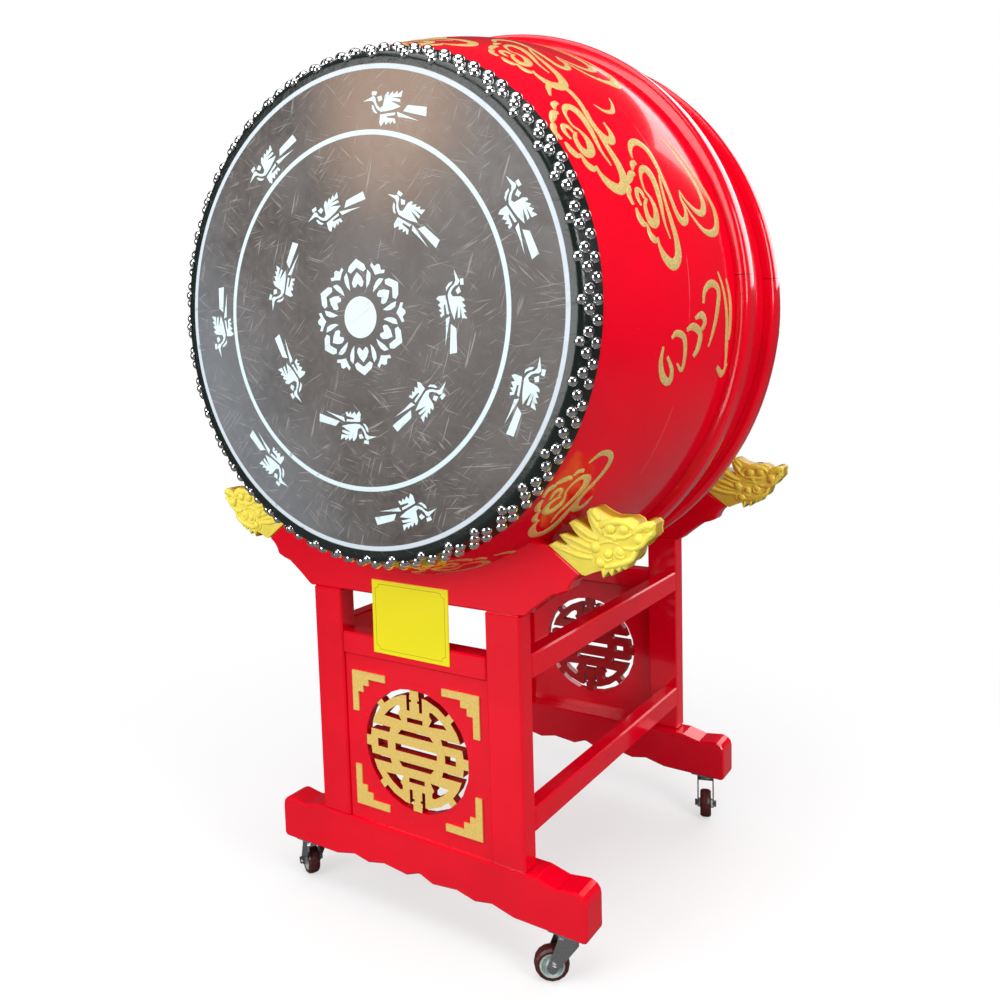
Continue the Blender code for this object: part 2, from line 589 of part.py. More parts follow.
def build_caster(corner):
    """One swivel caster: plate with kingpin, fork, axle bolt, wheel core and tyre."""
    row, hand_name = corner.split("_")
    side = -1 if row == "front" else 1
    hand = 1 if hand_name == "right" else -1
    x = hand * CASTER_X
    y = plank_y(side, FOOT_THICKNESS / 2.0)
    swivel = empty(f"{corner}_swivel", (x, y, 0.0), CASTER_HEADINGS[corner])
    plate_top = FOOT_BOTTOM_Z - GAP
    race_top = plate_top - CASTER_PLATE_THICKNESS
    race_low = race_top - RACE_HEIGHT
    crown_top = race_low - GAP
    crown_low = crown_top - FORK_THICKNESS
    stand_up = Matrix.Translation((x, y, 0.0)) @ Matrix.Rotation(math.radians(90.0), 4, "X")

    side_half = CASTER_PLATE_SIDE / 2.0
    plate = box(f"{corner}_caster_plate", (x - side_half, y - side_half, race_top),
                (x + side_half, y + side_half, plate_top), "zinc")
    pin_low = crown_low - GAP
    pin_profile = [(0.0, race_top + 0.001), (RACE_RADIUS, race_top + 0.001), (RACE_RADIUS, race_low),
                   (KINGPIN_RADIUS, race_low), (KINGPIN_RADIUS, pin_low), (KINGPIN_HEAD_RADIUS, pin_low),
                   (KINGPIN_HEAD_RADIUS, pin_low - KINGPIN_HEAD_HEIGHT), (0.0, pin_low - KINGPIN_HEAD_HEIGHT)]
    pin = turned(f"{corner}_kingpin", pin_profile, False, segments=WHEEL_SEGMENTS, matrix=stand_up)
    combine(plate, pin, "UNION")

    trail = CASTER_TRAIL
    eye = arc((trail, WHEEL_RADIUS), FORK_EYE_RADIUS, 10.0, -160.0, 6)
    leg = [(-FORK_LENGTH / 2.0, crown_top), (-FORK_LENGTH / 2.0, crown_top - 0.012)] + list(reversed(eye))
    leg += [(FORK_LENGTH / 2.0 + 0.004, crown_top - 0.012), (FORK_LENGTH / 2.0, crown_top)]
    outer = FORK_INNER_HALF + FORK_THICKNESS
    fork = prism(f"{corner}_caster_fork", leg, -outer, outer, "zinc", swivel)
    reach = FORK_LENGTH * 2.0
    channel = box(f"{corner}_channel", (-reach, -FORK_INNER_HALF, 0.0), (reach, FORK_INNER_HALF, crown_low),
                  parent=swivel)
    combine(fork, channel, "DIFFERENCE")
    bore = [(0.0, crown_low - 0.01), (KINGPIN_RADIUS + GAP, crown_low - 0.01),
            (KINGPIN_RADIUS + GAP, crown_top + 0.01), (0.0, crown_top + 0.01)]
    upright = Matrix.Rotation(math.radians(90.0), 4, "X")
    pin_bore = turned(f"{corner}_pin_bore", bore, False, parent=swivel, segments=WHEEL_SEGMENTS, matrix=upright)
    combine(fork, pin_bore, "DIFFERENCE")
    axle_at = Matrix.Translation((trail, 0.0, WHEEL_RADIUS))
    bolt_bore = [(0.0, -reach), (AXLE_RADIUS + GAP, -reach), (AXLE_RADIUS + GAP, reach), (0.0, reach)]
    cross_bore = turned(f"{corner}_axle_bore", bolt_bore, False, parent=swivel, segments=WHEEL_SEGMENTS,
                        matrix=axle_at)
    combine(fork, cross_bore, "DIFFERENCE")

    head_in = outer + GAP
    head_out = head_in + AXLE_HEAD_LENGTH
    bolt = [(0.0, -head_out), (AXLE_HEAD_RADIUS, -head_out), (AXLE_HEAD_RADIUS, -head_in), (AXLE_RADIUS, -head_in),
            (AXLE_RADIUS, head_in), (AXLE_HEAD_RADIUS, head_in), (AXLE_HEAD_RADIUS, head_out), (0.0, head_out)]
    turned(f"{corner}_caster_axle", bolt, False, "zinc", swivel, WHEEL_SEGMENTS // 2, axle_at)

    hub_half = FORK_INNER_HALF - GAP
    rim = WHEEL_RADIUS - TYRE_THICKNESS
    web_half = WHEEL_HALF_WIDTH * 0.45
    core = [(AXLE_RADIUS + GAP, hub_half), (HUB_RADIUS, hub_half), (HUB_RADIUS + 0.001, web_half),
            (rim - 0.004, web_half), (rim - 0.003, WHEEL_HALF_WIDTH * 0.9), (rim, WHEEL_HALF_WIDTH * 0.9)]
    core += [(r, -y) for r, y in reversed(core)]
    turned(f"{corner}_caster_core", core, True, "caster_core", swivel, WHEEL_SEGMENTS, axle_at)
    tread = [(rim + GAP, WHEEL_HALF_WIDTH), (WHEEL_RADIUS - 0.004, WHEEL_HALF_WIDTH),
             (WHEEL_RADIUS - 0.001, WHEEL_HALF_WIDTH * 0.7), (WHEEL_RADIUS, WHEEL_HALF_WIDTH * 0.35)]
    tread += [(r, -y) for r, y in reversed(tread)]
    turned(f"{corner}_caster_tyre", tread, True, "caster_tyre", swivel, WHEEL_SEGMENTS, axle_at)


def build_drum():
    """The drum: shell, two belly hoops and two heads, which lifts off the stand as one."""
    lift = empty("drum_lift", (0.0, 0.0, DRUM_AXIS_Z))
    build_shell(lift)
    build_hoop("front_hoop", -HOOP_SPACING / 2.0, lift)
    build_hoop("rear_hoop", HOOP_SPACING / 2.0, lift)
    build_head("front_head", True, lift)
    build_head("rear_head", False, lift)


def build_frame(row, side, bed):
    """One end frame of the stand."""
    build_foot(f"{row}_foot", side)
    for hand_name, hand in (("left", -1), ("right", 1)):
        build_post(f"{row}_{hand_name}_post", side, hand)
        build_dragon_head(f"{row}_{hand_name}_dragon_head", side, hand)
        for level, up in (("lower", -1), ("upper", 1)):
            build_fret(f"{row}_{level}_{hand_name}_fret", side, hand, up)
    build_mid_rail(f"{row}_mid_rail", side)
    build_panel(f"{row}_panel", side)
    build_medallion(f"{row}_medallion", side)
    build_yoke(f"{row}_yoke", side, bed)


def main():
    """Builds the whole drum and its stand."""
    clear_scene()
    bed = build_bed()
    build_drum()
    for row, side in (("front", -1), ("rear", 1)):
        build_frame(row, side, bed)
    for hand_name, hand in (("left", -1), ("right", 1)):
        build_stretcher(f"upper_{hand_name}_stretcher", hand, UPPER_STRETCHER_Z)
        build_stretcher(f"lower_{hand_name}_stretcher", hand, LOWER_STRETCHER_Z)
    build_sign()
    for corner in CASTER_HEADINGS:
        build_caster(corner)


main()
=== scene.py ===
"""The looks of a temple drum in its wheeled cradle stand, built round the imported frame."""

import json
import logging
import math
from collections.abc import Callable, Iterable, Sequence
from dataclasses import dataclass, field
from enum import Enum

import bmesh
import bpy
from mathutils import Matrix, Vector

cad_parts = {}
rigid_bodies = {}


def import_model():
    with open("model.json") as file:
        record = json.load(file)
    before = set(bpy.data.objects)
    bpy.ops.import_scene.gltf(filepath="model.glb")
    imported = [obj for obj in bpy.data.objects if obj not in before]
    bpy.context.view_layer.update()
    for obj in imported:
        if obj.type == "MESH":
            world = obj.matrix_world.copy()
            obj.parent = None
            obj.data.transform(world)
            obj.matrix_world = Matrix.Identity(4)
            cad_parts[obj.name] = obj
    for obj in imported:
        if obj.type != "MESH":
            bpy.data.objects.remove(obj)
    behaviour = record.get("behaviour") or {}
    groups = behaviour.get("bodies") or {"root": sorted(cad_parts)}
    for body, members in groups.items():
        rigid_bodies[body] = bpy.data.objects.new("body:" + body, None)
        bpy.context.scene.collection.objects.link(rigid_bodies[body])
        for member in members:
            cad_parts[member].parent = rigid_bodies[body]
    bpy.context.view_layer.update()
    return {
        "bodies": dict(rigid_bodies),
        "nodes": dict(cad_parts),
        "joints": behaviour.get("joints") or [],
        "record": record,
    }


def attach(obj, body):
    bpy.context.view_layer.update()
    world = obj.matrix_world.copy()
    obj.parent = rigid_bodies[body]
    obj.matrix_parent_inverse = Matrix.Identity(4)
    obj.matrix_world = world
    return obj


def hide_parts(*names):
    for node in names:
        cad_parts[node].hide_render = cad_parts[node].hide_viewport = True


log = logging.getLogger("temple_drum")

Point = tuple[float, float]
Link = tuple[Point, ...]

AXIS_Z = 1.159
STAND_MIDDLE_Y = 0.020
FIT = 0.0003
MM = 1000.0


# Shader maths


@dataclass(frozen=True)
class Value:
    """A shader socket that works in Python expressions."""

    shader: "Shader"
    socket: bpy.types.NodeSocket

    def _maths(self, operation: str, *others: "Value | float") -> "Value":
        """Adds a Math node of this value and the others."""
        return self.shader.maths(operation, self, *others)

    def __add__(self, other: "Value | float") -> "Value":
        """Adds."""
        return self._maths("ADD", other)

    __radd__ = __add__

    def __sub__(self, other: "Value | float") -> "Value":
        """Takes away."""
        return self._maths("SUBTRACT", other)

    def __rsub__(self, other: float) -> "Value":
        """Takes this value away from a number."""
        return self.shader.maths("SUBTRACT", other, self)

    def __mul__(self, other: "Value | float") -> "Value":
        """Multiplies."""
        return self._maths("MULTIPLY", other)

    __rmul__ = __mul__

    def __gt__(self, other: "Value | float") -> "Value":
        """One where this value is greater, and nought elsewhere."""
        return self._maths("GREATER_THAN", other)

    def __abs__(self) -> "Value":
        """The size without its sign."""
        return self._maths("ABSOLUTE")

    def ramp(self, low: float, high: float) -> "Value":
        """Rises smoothly from nought at low to one at high."""
        return self.shader.node("ShaderNodeMapRange", {"interpolation_type": "SMOOTHSTEP"},
                                {"Value": self, "From Min": low, "From Max": high})

    def band(self, middle: float, half: float, soft: float) -> "Value":
        """One within half of the middle, falling to nought over soft."""
        return 1.0 - abs(self - middle).ramp(half - soft / 2.0, half + soft / 2.0)


class Shader:
    """A material under construction."""

    def __init__(self, name: str) -> None:
        """Starts a material.

        Args:
            name: the material's name.
        """
        self.material = bpy.data.materials.new(name)
        self.material.use_nodes = True
        self.tree = self.material.node_tree
        self.surface = self.tree.nodes["Principled BSDF"]
        self.place = self._sockets("ShaderNodeTexCoord")["Object"]

    def _sockets(self, kind: str) -> dict[str, bpy.types.NodeSocket]:
        """Makes a node and returns its outputs by name."""
        return {s.name: s for s in self.tree.nodes.new(kind).outputs}

    def node(self, kind: str, settings: dict, inputs: dict, output: int | str = 0) -> Value:
        """Makes any node.

        Args:
            kind: the node's type.
            settings: the node's own settings, which are set first.
            inputs: values or links by socket name or number.
            output: the output that is wanted.

        Returns:
            That output.
        """
        made = self.tree.nodes.new(kind)
        for key, value in settings.items():
            setattr(made, key, value)
        for key, value in inputs.items():
            self._feed(made.inputs[key], value)
        return Value(self, made.outputs[output])

    def _feed(self, socket: bpy.types.NodeSocket, value: object) -> None:
        """Links a value to a socket, or sets the socket to it."""
        if isinstance(value, Value):
            self.tree.links.new(value.socket, socket)
        elif isinstance(value, bpy.types.NodeSocket):
            self.tree.links.new(value, socket)
        elif isinstance(value, tuple) and len(value) == 3 and socket.type == "RGBA":
            socket.default_value = (*value, 1.0)
        else:
            socket.default_value = value

    def maths(self, operation: str, *values: Value | float) -> Value:
        """Makes a Math node."""
        return self.node("ShaderNodeMath", {"operation": operation}, dict(enumerate(values)))

    def axes(self) -> tuple[Value, Value, Value]:
        """The place on the object along X, Y and Z."""
        made = self.tree.nodes.new("ShaderNodeSeparateXYZ")
        self.tree.links.new(self.place, made.inputs[0])
        return tuple(Value(self, out) for out in made.outputs)

    def spread(self, scale: Sequence[float], turn: Sequence[float] = (0.0, 0.0, 0.0)) -> Value:
        """The place on the object, turned and stretched."""
        turned = self.node("ShaderNodeMapping", {}, {"Vector": self.place, "Rotation": tuple(turn)})
        return self.node("ShaderNodeMapping", {}, {"Vector": turned, "Scale": tuple(scale)})

    def noise(self, scale: float, detail: float = 3.0, at: Value | None = None) -> Value:
        """A cloudy value between nought and one."""
        place = at.socket if at else self.place
        return self.node("ShaderNodeTexNoise", {}, {"Vector": place, "Scale": scale, "Detail": detail}, 0)

    def mix(self, share: Value | float, low: object, high: object) -> Value:
        """Mixes two colours."""
        settings = {"data_type": "RGBA"}
        return self.node("ShaderNodeMix", settings, {0: share, 6: low, 7: high}, 2)

    def bump(self, height: Value, strength: float, depth: float) -> Value:
        """Turns a height into a surface's relief."""
        return self.node("ShaderNodeBump", {}, {"Height": height, "Strength": strength, "Distance": depth})

    def rays(self) -> dict[str, bpy.types.NodeSocket]:
        """What kind of ray meets the surface."""
        return self._sockets("ShaderNodeLightPath")

    def glow(self, colour: tuple[float, float, float], share: Value) -> None:
        """Lays a plain glow over the surface.

        Args:
            colour: the glow's colour.
            share: how much of it shows.
        """
        glow = self.node("ShaderNodeEmission", {}, {"Color": colour})
        blend = self.node("ShaderNodeMixShader", {}, {0: share, 1: self.surface.outputs[0], 2: glow})
        self._feed(self.tree.nodes["Material Output"].inputs["Surface"], blend)

    def finish(self, **sockets: object) -> bpy.types.Material:
        """Feeds the surface's sockets.

        Args:
            **sockets: values or links, with underscores for the spaces in the sockets' names.

        Returns:
            The material.
        """
        for key, value in sockets.items():
            self._feed(self.surface.inputs[key.replace("_", " ")], value)
        return self.material


# Finishes

RED = (0.86, 0.0, 0.016)
# painted shade: a darker copy of RED
SHADED_RED = (0.40, 0.0008, 0.0064)


@dataclass(frozen=True)
class Lacquer:
    """Glossy red lacquer over wood, with faint brush waves and dust."""

    name: str = "red_lacquer"
    colour: tuple[float, float, float] = RED
    crease_highlight_y: float | None = None
    seam_height: float | None = None

    def material(self) -> bpy.types.Material:
        """Makes the material."""
        s = Shader(self.name)
        x, y, z = s.axes()
        cloud = s.noise(5.0, 4.0).ramp(0.35, 0.75)
        colour = s.mix(cloud, self.colour, tuple(c * 0.86 for c in self.colour))
        dust = s.noise(340.0, 2.0).ramp(0.73, 0.80)
        colour = s.mix(dust * 0.25, colour, (0.85, 0.30, 0.30))
        height = s.noise(26.0, 2.0) * 0.6 + s.noise(190.0, 2.0) * 0.1
        if self.crease_highlight_y is not None:
            # painted highlight: the crease line is drawn paler as well as sunk as relief
            line = abs(y).band(self.crease_highlight_y, 0.0006, 0.0006) * s.noise(14.0, 3.0).ramp(0.40, 0.55)
            colour = s.mix(line * 0.55, colour, (0.80, 0.22, 0.22))
            height = height - line * 0.6
        if self.seam_height is not None:
            seam = z.band(self.seam_height, 0.0006, 0.0005) * (x > 0.0)
            colour = s.mix(seam, colour, (0.06, 0.0, 0.0))
            height = height - seam * 3.0
        return s.finish(Base_Color=colour, Roughness=cloud * 0.05 + 0.13, Coat_Weight=0.45, Coat_Roughness=0.03,
                        Specular_IOR_Level=0.3, Normal=s.bump(height, 0.10, 0.002))


@dataclass(frozen=True)
class Hide:
    """The stretched hide: a dull, scratched face with painted rings, a painted warm reflection near the top and a
    painted cool reflection to the lower left, and a black lap round it.
    """

    name: str = "painted_hide"
    face_radius: float = 0.4005
    rim_ring: Point = (0.3965, 0.0038)
    middle_ring: Point = (0.2945, 0.0040)
    ring_centre: Point = (0.004, 0.0)

    def material(self) -> bpy.types.Material:
        """Makes the material."""
        s = Shader(self.name)
        x, _, z = s.axes()
        up = z - AXIS_Z
        radius = s.maths("SQRT", x * x + up * up)
        cx, cz = self.ring_centre
        ring_radius = s.maths("SQRT", (x - cx) * (x - cx) + (up - cz) * (up - cz))
        blotch = s.noise(7.0, 5.0).ramp(0.35, 0.68)
        fibre = s.noise(60.0, 6.0).ramp(0.30, 0.75)
        colour = s.mix(blotch, (0.050, 0.040, 0.036), (0.098, 0.088, 0.086))
        colour = s.mix(fibre * 0.50, colour, (0.135, 0.112, 0.100))
        # painted reflection: a warm sheen painted onto the face near its top
        glow = 1.0 - s.maths("SQRT", (x - 0.09) * (x - 0.09) * 1.4 + (up - 0.34) * (up - 0.34)).ramp(0.05, 0.27)
        colour = s.mix(glow * 0.60, colour, (0.40, 0.25, 0.16))
        # painted reflection: the face drawn paler and bluer towards the lower left
        edge = (0.035 - up * 0.30 - x * 0.55).ramp(0.10, 0.30)
        colour = s.mix(edge * 0.45, colour, (0.25, 0.30, 0.34))
        scratches = None
        for turn, width in ((0.45, 260.0), (-0.75, 330.0), (1.25, 300.0), (0.10, 420.0), (0.80, 520.0), (-0.30, 480.0)):
            along = s.spread((14.0, 1.0, width), (0.0, turn, 0.0))
            where = s.noise(9.0 + width / 60.0, 2.0).ramp(0.50, 0.62)
            line = s.noise(1.0, 2.0, along).ramp(0.63, 0.70) * where
            scratches = line if scratches is None else s.maths("MAXIMUM", scratches, line)
        colour = s.mix(scratches * 0.55, colour, (0.40, 0.37, 0.35))
        paint = ring_radius.band(*self.middle_ring, 0.0012)
        rim = radius.band(*self.rim_ring, 0.0012)
        wear = 1.0 - s.noise(45.0, 5.0).ramp(0.66, 0.74) * 0.5
        colour = s.mix(paint * wear, colour, (0.66, 0.80, 0.82))
        colour = s.mix(rim * wear, colour, (0.60, 0.68, 0.74))
        lap = radius.ramp(self.face_radius, self.face_radius + 0.0012)
        colour = s.mix(lap, colour, (0.008, 0.014, 0.012))
        rough = (1.0 - lap) * (0.36 + fibre * 0.14) + lap * 0.22
        height = fibre * 0.5 - scratches * 0.4 + (paint + rim) * 0.2
        return s.finish(Base_Color=colour, Roughness=rough, Normal=s.bump(height, 0.25, 0.0015))


@dataclass(frozen=True)
class Stencil:
    """Sprayed stencil paint, worn thin in places."""

    name: str = "stencil_white"
    colour: tuple[float, float, float] = (0.70, 0.86, 0.89)

    def material(self) -> bpy.types.Material:
        """Makes the material."""
        s = Shader(self.name)
        wear = s.noise(70.0, 5.0).ramp(0.60, 0.75)
        scrape = s.noise(1.0, 2.0, s.spread((14.0, 1.0, 320.0), (0.0, 0.5, 0.0))).ramp(0.64, 0.72)
        colour = s.mix(s.maths("MAXIMUM", wear * 0.35, scrape * 0.45), self.colour, (0.24, 0.25, 0.26))
        return s.finish(Base_Color=colour, Roughness=wear * 0.1 + 0.45)


@dataclass(frozen=True)
class GoldPaint:
    """Metallic gold paint, thin enough for the red to show a little."""

    name: str = "gold_scroll_paint"

    def material(self) -> bpy.types.Material:
        """Makes the material."""
        s = Shader(self.name)
        fleck = s.noise(480.0, 3.0).ramp(0.40, 0.70)
        stroke = s.noise(24.0, 4.0).ramp(0.35, 0.70)
        colour = s.mix(fleck, (0.70, 0.50, 0.15), (0.95, 0.80, 0.38))
        colour = s.mix(stroke * 0.25, colour, (0.62, 0.26, 0.05))
        return s.finish(Base_Color=colour, Roughness=stroke * 0.10 + 0.26, Metallic=0.25, Coat_Weight=0.3)


@dataclass(frozen=True)
class FaceGilding:
    """Matt gold on the outer faces of the boards, and red lacquer darkened as painted shade on their edges and backs.
    """

    name: str = "face_gilding"
    gold_depth: float = 0.3773

    def material(self) -> bpy.types.Material:
        """Makes the material."""
        s = Shader(self.name)
        _, y, _ = s.axes()
        outer = abs(y - STAND_MIDDLE_Y).ramp(self.gold_depth - 0.0003, self.gold_depth + 0.0001)
        grain = s.noise(260.0, 3.0).ramp(0.35, 0.70)
        gold = s.mix(grain * 0.6, (0.74, 0.50, 0.11), (0.88, 0.66, 0.22))
        # painted shade: the edges and backs take the darkened copy of the red
        colour = s.mix(outer, SHADED_RED, gold)
        return s.finish(Base_Color=colour, Roughness=outer * (0.30 + grain * 0.1) + 0.16,
                        Normal=s.bump(grain, 0.12, 0.0008))


@dataclass(frozen=True)
class CarvedYellow:
    """Lemon paint on the carving, with painted shade: darker amber in its hollows and on the plank's sides."""

    name: str = "carved_yellow"
    face_depth: float = 0.3835

    def material(self) -> bpy.types.Material:
        """Makes the material."""
        s = Shader(self.name)
        _, y, _ = s.axes()
        depth = self.face_depth - abs(y - STAND_MIDDLE_Y)
        # painted shade: darker amber on the plank's sides and in the carving's hollows
        side = depth.ramp(0.006, 0.013) * (1.0 - depth.ramp(0.033, 0.038))
        painted_hollow_shade = depth.ramp(-0.004, 0.003) * 0.30
        brush = s.noise(90.0, 4.0).ramp(0.35, 0.70)
        colour = s.mix(brush * 0.25, (0.97, 0.84, 0.10), (0.88, 0.70, 0.07))
        # painted shade in the hollows
        colour = s.mix(painted_hollow_shade, colour, (0.80, 0.58, 0.06))
        # painted shade on the plank's sides
        colour = s.mix(side * 0.85, colour, (0.48, 0.24, 0.015))
        return s.finish(Base_Color=colour, Roughness=brush * 0.12 + 0.34, Normal=s.bump(brush, 0.15, 0.0010))


@dataclass(frozen=True)
class Plate:
    """A bright yellow plate with a thin printed border."""

    name: str = "plain_plate"
    centre: Point = (0.003, 0.603)
    half: Point = (0.086, 0.070)
    border: float = 0.0075
    tilt: float = -0.4

    def material(self) -> bpy.types.Material:
        """Makes the material."""
        s = Shader(self.name)
        x, _, z = s.axes()
        turn = math.radians(self.tilt)
        u = (x - self.centre[0]) * math.cos(turn) + (z - self.centre[1]) * math.sin(turn)
        v = (z - self.centre[1]) * math.cos(turn) - (x - self.centre[0]) * math.sin(turn)
        inset_u = self.half[0] - self.border
        inset_v = self.half[1] - self.border
        edge = s.maths("MAXIMUM", abs(u) - inset_u, abs(v) - inset_v)
        corner_u = abs(u) - inset_u
        corner_v = abs(v) - inset_v
        notch = s.maths("SQRT", corner_u * corner_u + corner_v * corner_v) - 0.0085
        line = s.maths("MAXIMUM", edge, notch * -1.0).band(0.0, 0.0005, 0.0005)
        colour = s.mix(line * 0.75, (0.93, 0.82, 0.005), (0.22, 0.19, 0.01))
        haze = s.noise(30.0, 3.0)
        return s.finish(Base_Color=colour, Roughness=haze * 0.1 + 0.26)


@dataclass(frozen=True)
class Metal:
    """Plated or polished steel."""

    name: str
    colour: tuple[float, float, float]
    roughness: float
    streak: float = 0.08

    def material(self) -> bpy.types.Material:
        """Makes the material."""
        s = Shader(self.name)
        smear = s.noise(120.0, 4.0).ramp(0.30, 0.75)
        colour = s.mix(smear * 0.3, self.colour, tuple(c * 0.72 for c in self.colour))
        return s.finish(Base_Color=colour, Roughness=smear * self.streak + self.roughness, Metallic=1.0,
                        Normal=s.bump(smear, 0.05, 0.0005))


@dataclass(frozen=True)
class Moulded:
    """Moulded plastic or rubber with a little scuffing."""

    name: str
    colour: tuple[float, float, float]
    roughness: float

    def material(self) -> bpy.types.Material:
        """Makes the material."""
        s = Shader(self.name)
        scuff = s.noise(150.0, 4.0).ramp(0.45, 0.75)
        colour = s.mix(scuff * 0.35, self.colour, tuple(min(1.0, c * 1.6 + 0.03) for c in self.colour))
        return s.finish(Base_Color=colour, Roughness=scuff * 0.15 + self.roughness,
                        Normal=s.bump(scuff, 0.08, 0.0006))


class Paints:
    """Every finish's material, made once."""

    def __init__(self) -> None:
        """Makes the materials."""
        self.lacquer = Lacquer().material()
        self.shell = Lacquer("shell_lacquer", crease_highlight_y=0.258).material()
        self.hoop = Lacquer("hoop_lacquer", seam_height=AXIS_Z + 0.046).material()
        self.hide = Hide().material()
        self.stencil = Stencil().material()
        self.scroll = GoldPaint().material()
        self.gilding = FaceGilding().material()
        self.carving = CarvedYellow().material()
        self.plate = Plate().material()
        self.stud = Metal("polished_steel", (0.74, 0.74, 0.75), 0.10).material()
        self.zinc = Metal("zinc_plate", (0.62, 0.64, 0.66), 0.24).material()
        self.tyre = Moulded("caster_tyre", (0.075, 0.012, 0.012), 0.30).material()
        self.core = Moulded("caster_core", (0.50, 0.60, 0.57), 0.38).material()

    def of_slot(self, slot: str) -> bpy.types.Material:
        """The material of one of the record's slots."""
        return {
            "red_lacquer": self.lacquer, "drum_skin": self.hide, "gold_paint": self.gilding,
            "yellow_paint": self.carving, "sign_yellow": self.plate, "zinc": self.zinc,
            "caster_tyre": self.tyre, "caster_core": self.core,
        }[slot]


# Mesh helpers


def put(name: str, bm: bmesh.types.BMesh, body: str, paint: bpy.types.Material,
        stands_for: Iterable[str] = (), smooth: float = 40.0) -> bpy.types.Object:
    """Makes a finished piece that rides on a body.

    Args:
        name: the piece's name.
        bm: its mesh, which is freed.
        body: the body that it rides on.
        paint: its material.
        stands_for: the CAD nodes that it replaces.
        smooth: the sharpest turn, in degrees, that is shaded smooth.

    Returns:
        The piece.
    """
    bmesh.ops.remove_doubles(bm, verts=bm.verts, dist=1e-6)
    bmesh.ops.recalc_face_normals(bm, faces=bm.faces)
    mesh = bpy.data.meshes.new(name)
    bm.to_mesh(mesh)
    bm.free()
    mesh.shade_smooth()
    mesh.set_sharp_from_angle(angle=math.radians(smooth))
    mesh.materials.append(paint)
    piece = bpy.data.objects.new(name, mesh)
    bpy.context.scene.collection.objects.link(piece)
    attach(piece, body)
    if stands_for:
        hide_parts(*stands_for)
    log.info("%s: %d faces", name, len(mesh.polygons))
    return piece


def lathe(profile: Sequence[Point], steps: int, closed: bool = False) -> bmesh.types.BMesh:
    """Turns an (r, y) profile about the drum's axis.

    Args:
        profile: the profile's points.
        steps: how many steps make the full turn.
        closed: whether the profile's last point joins its first.

    Returns:
        The turned mesh.
    """
    bm = bmesh.new()
    verts = [bm.verts.new((r, y, AXIS_Z)) for r, y in profile]
    pairs = list(zip(verts, verts[1:])) + ([(verts[-1], verts[0])] if closed else [])
    edges = [bm.edges.new(pair) for pair in pairs]
    bmesh.ops.spin(bm, geom=verts + edges, cent=(0.0, 0.0, AXIS_Z), axis=(0.0, 1.0, 0.0), angle=math.tau,
                   steps=steps, use_merge=True, use_duplicate=False)
    return bm


def arc(centre: Point, radius: float, start: float, end: float, steps: int) -> list[Point]:
    """Points on an arc, in degrees, both ends included."""
    turns = [math.radians(start + (end - start) * i / steps) for i in range(steps + 1)]
    return [(centre[0] + radius * math.cos(t), centre[1] + radius * math.sin(t)) for t in turns]


def smooth_line(points: Sequence[Sequence[float]], steps: int) -> list[Vector]:
    """A smooth curve through the points.

    Args:
        points: the points, of any number of coordinates.
        steps: how many steps go between two points.

    Returns:
        Points along the curve.
    """
    knots = [Vector(p) for p in points]
    knots = [knots[0] * 2 - knots[1]] + knots + [knots[-1] * 2 - knots[-2]]
    found = []
    for i in range(1, len(knots) - 2):
        a, b, c, d = knots[i - 1:i + 3]
        for k in range(steps):
            t = k / steps
            found.append(0.5 * ((2 * b) + (c - a) * t + (2 * a - 5 * b + 4 * c - d) * t * t
                                + (3 * b - a - 3 * c + d) * t * t * t))
    return found + [knots[-2]]


def slab(outline: Sequence[Sequence[float]], thickness: float) -> bmesh.types.BMesh:
    """A flat plate in the plane of its first two coordinates, from nought up to its thickness."""
    bm = bmesh.new()
    face = bm.faces.new([bm.verts.new((p[0], p[1], 0.0)) for p in outline])
    bmesh.ops.recalc_face_normals(bm, faces=[face])
    made = bmesh.ops.extrude_face_region(bm, geom=[face])["geom"]
    top = [v for v in made if isinstance(v, bmesh.types.BMVert)]
    bmesh.ops.translate(bm, vec=(0.0, 0.0, thickness), verts=top)
    return bm


def stroke(route: Sequence[Vector], widths: Sequence[float], section: Sequence[Point]) -> bmesh.types.BMesh:
    """A brush or chisel stroke along a flat route.

    Args:
        route: points of the middle line.
        widths: half the stroke's width at each point.
        section: the cross-section, as shares of the half width across and heights.

    Returns:
        The stroke, with its height along the third axis.
    """
    bm = bmesh.new()
    row: list[bmesh.types.BMVert] = []
    edges: list[bmesh.types.BMEdge] = []
    for i, (here, half) in enumerate(zip(route, widths)):
        ahead = route[min(i + 1, len(route) - 1)] - route[max(i - 1, 0)]
        side = Vector((-ahead.y, ahead.x)).normalized()
        spots = [(here.x + side.x * half * s, here.y + side.y * half * s, h * min(1.0, half / max(widths)))
                 for s, h in section]
        if i == 0:
            row = [bm.verts.new(p) for p in spots]
            edges = [bm.edges.new(pair) for pair in zip(row, row[1:])]
            continue
        made = bmesh.ops.extrude_edge_only(bm, edges=edges)["geom"]
        fresh = [e for e in made if isinstance(e, bmesh.types.BMEdge)]
        known = set(v for v in made if isinstance(v, bmesh.types.BMVert))
        links = {v: next(e.other_vert(v) for e in v.link_edges if e.other_vert(v) in known)
                 for v in row if any(e.other_vert(v) in known for e in v.link_edges)}
        row = [links[v] for v in row]
        for vert, spot in zip(row, spots):
            vert.co = spot
        edges = [e for e in fresh if e.verts[0] in known and e.verts[1] in known]
    return bm


def gather(target: bmesh.types.BMesh, part: bmesh.types.BMesh, place: Callable[[Vector], Vector]) -> None:
    """Adds a part to a mesh, with each point moved by a function.

    Args:
        target: the mesh that grows.
        part: the part, which is freed.
        place: where each point goes.
    """
    for vert in part.verts:
        vert.co = place(vert.co)
    mesh = bpy.data.meshes.new("part")
    part.to_mesh(mesh)
    part.free()
    target.from_mesh(mesh)
    bpy.data.meshes.remove(mesh)


# The drum


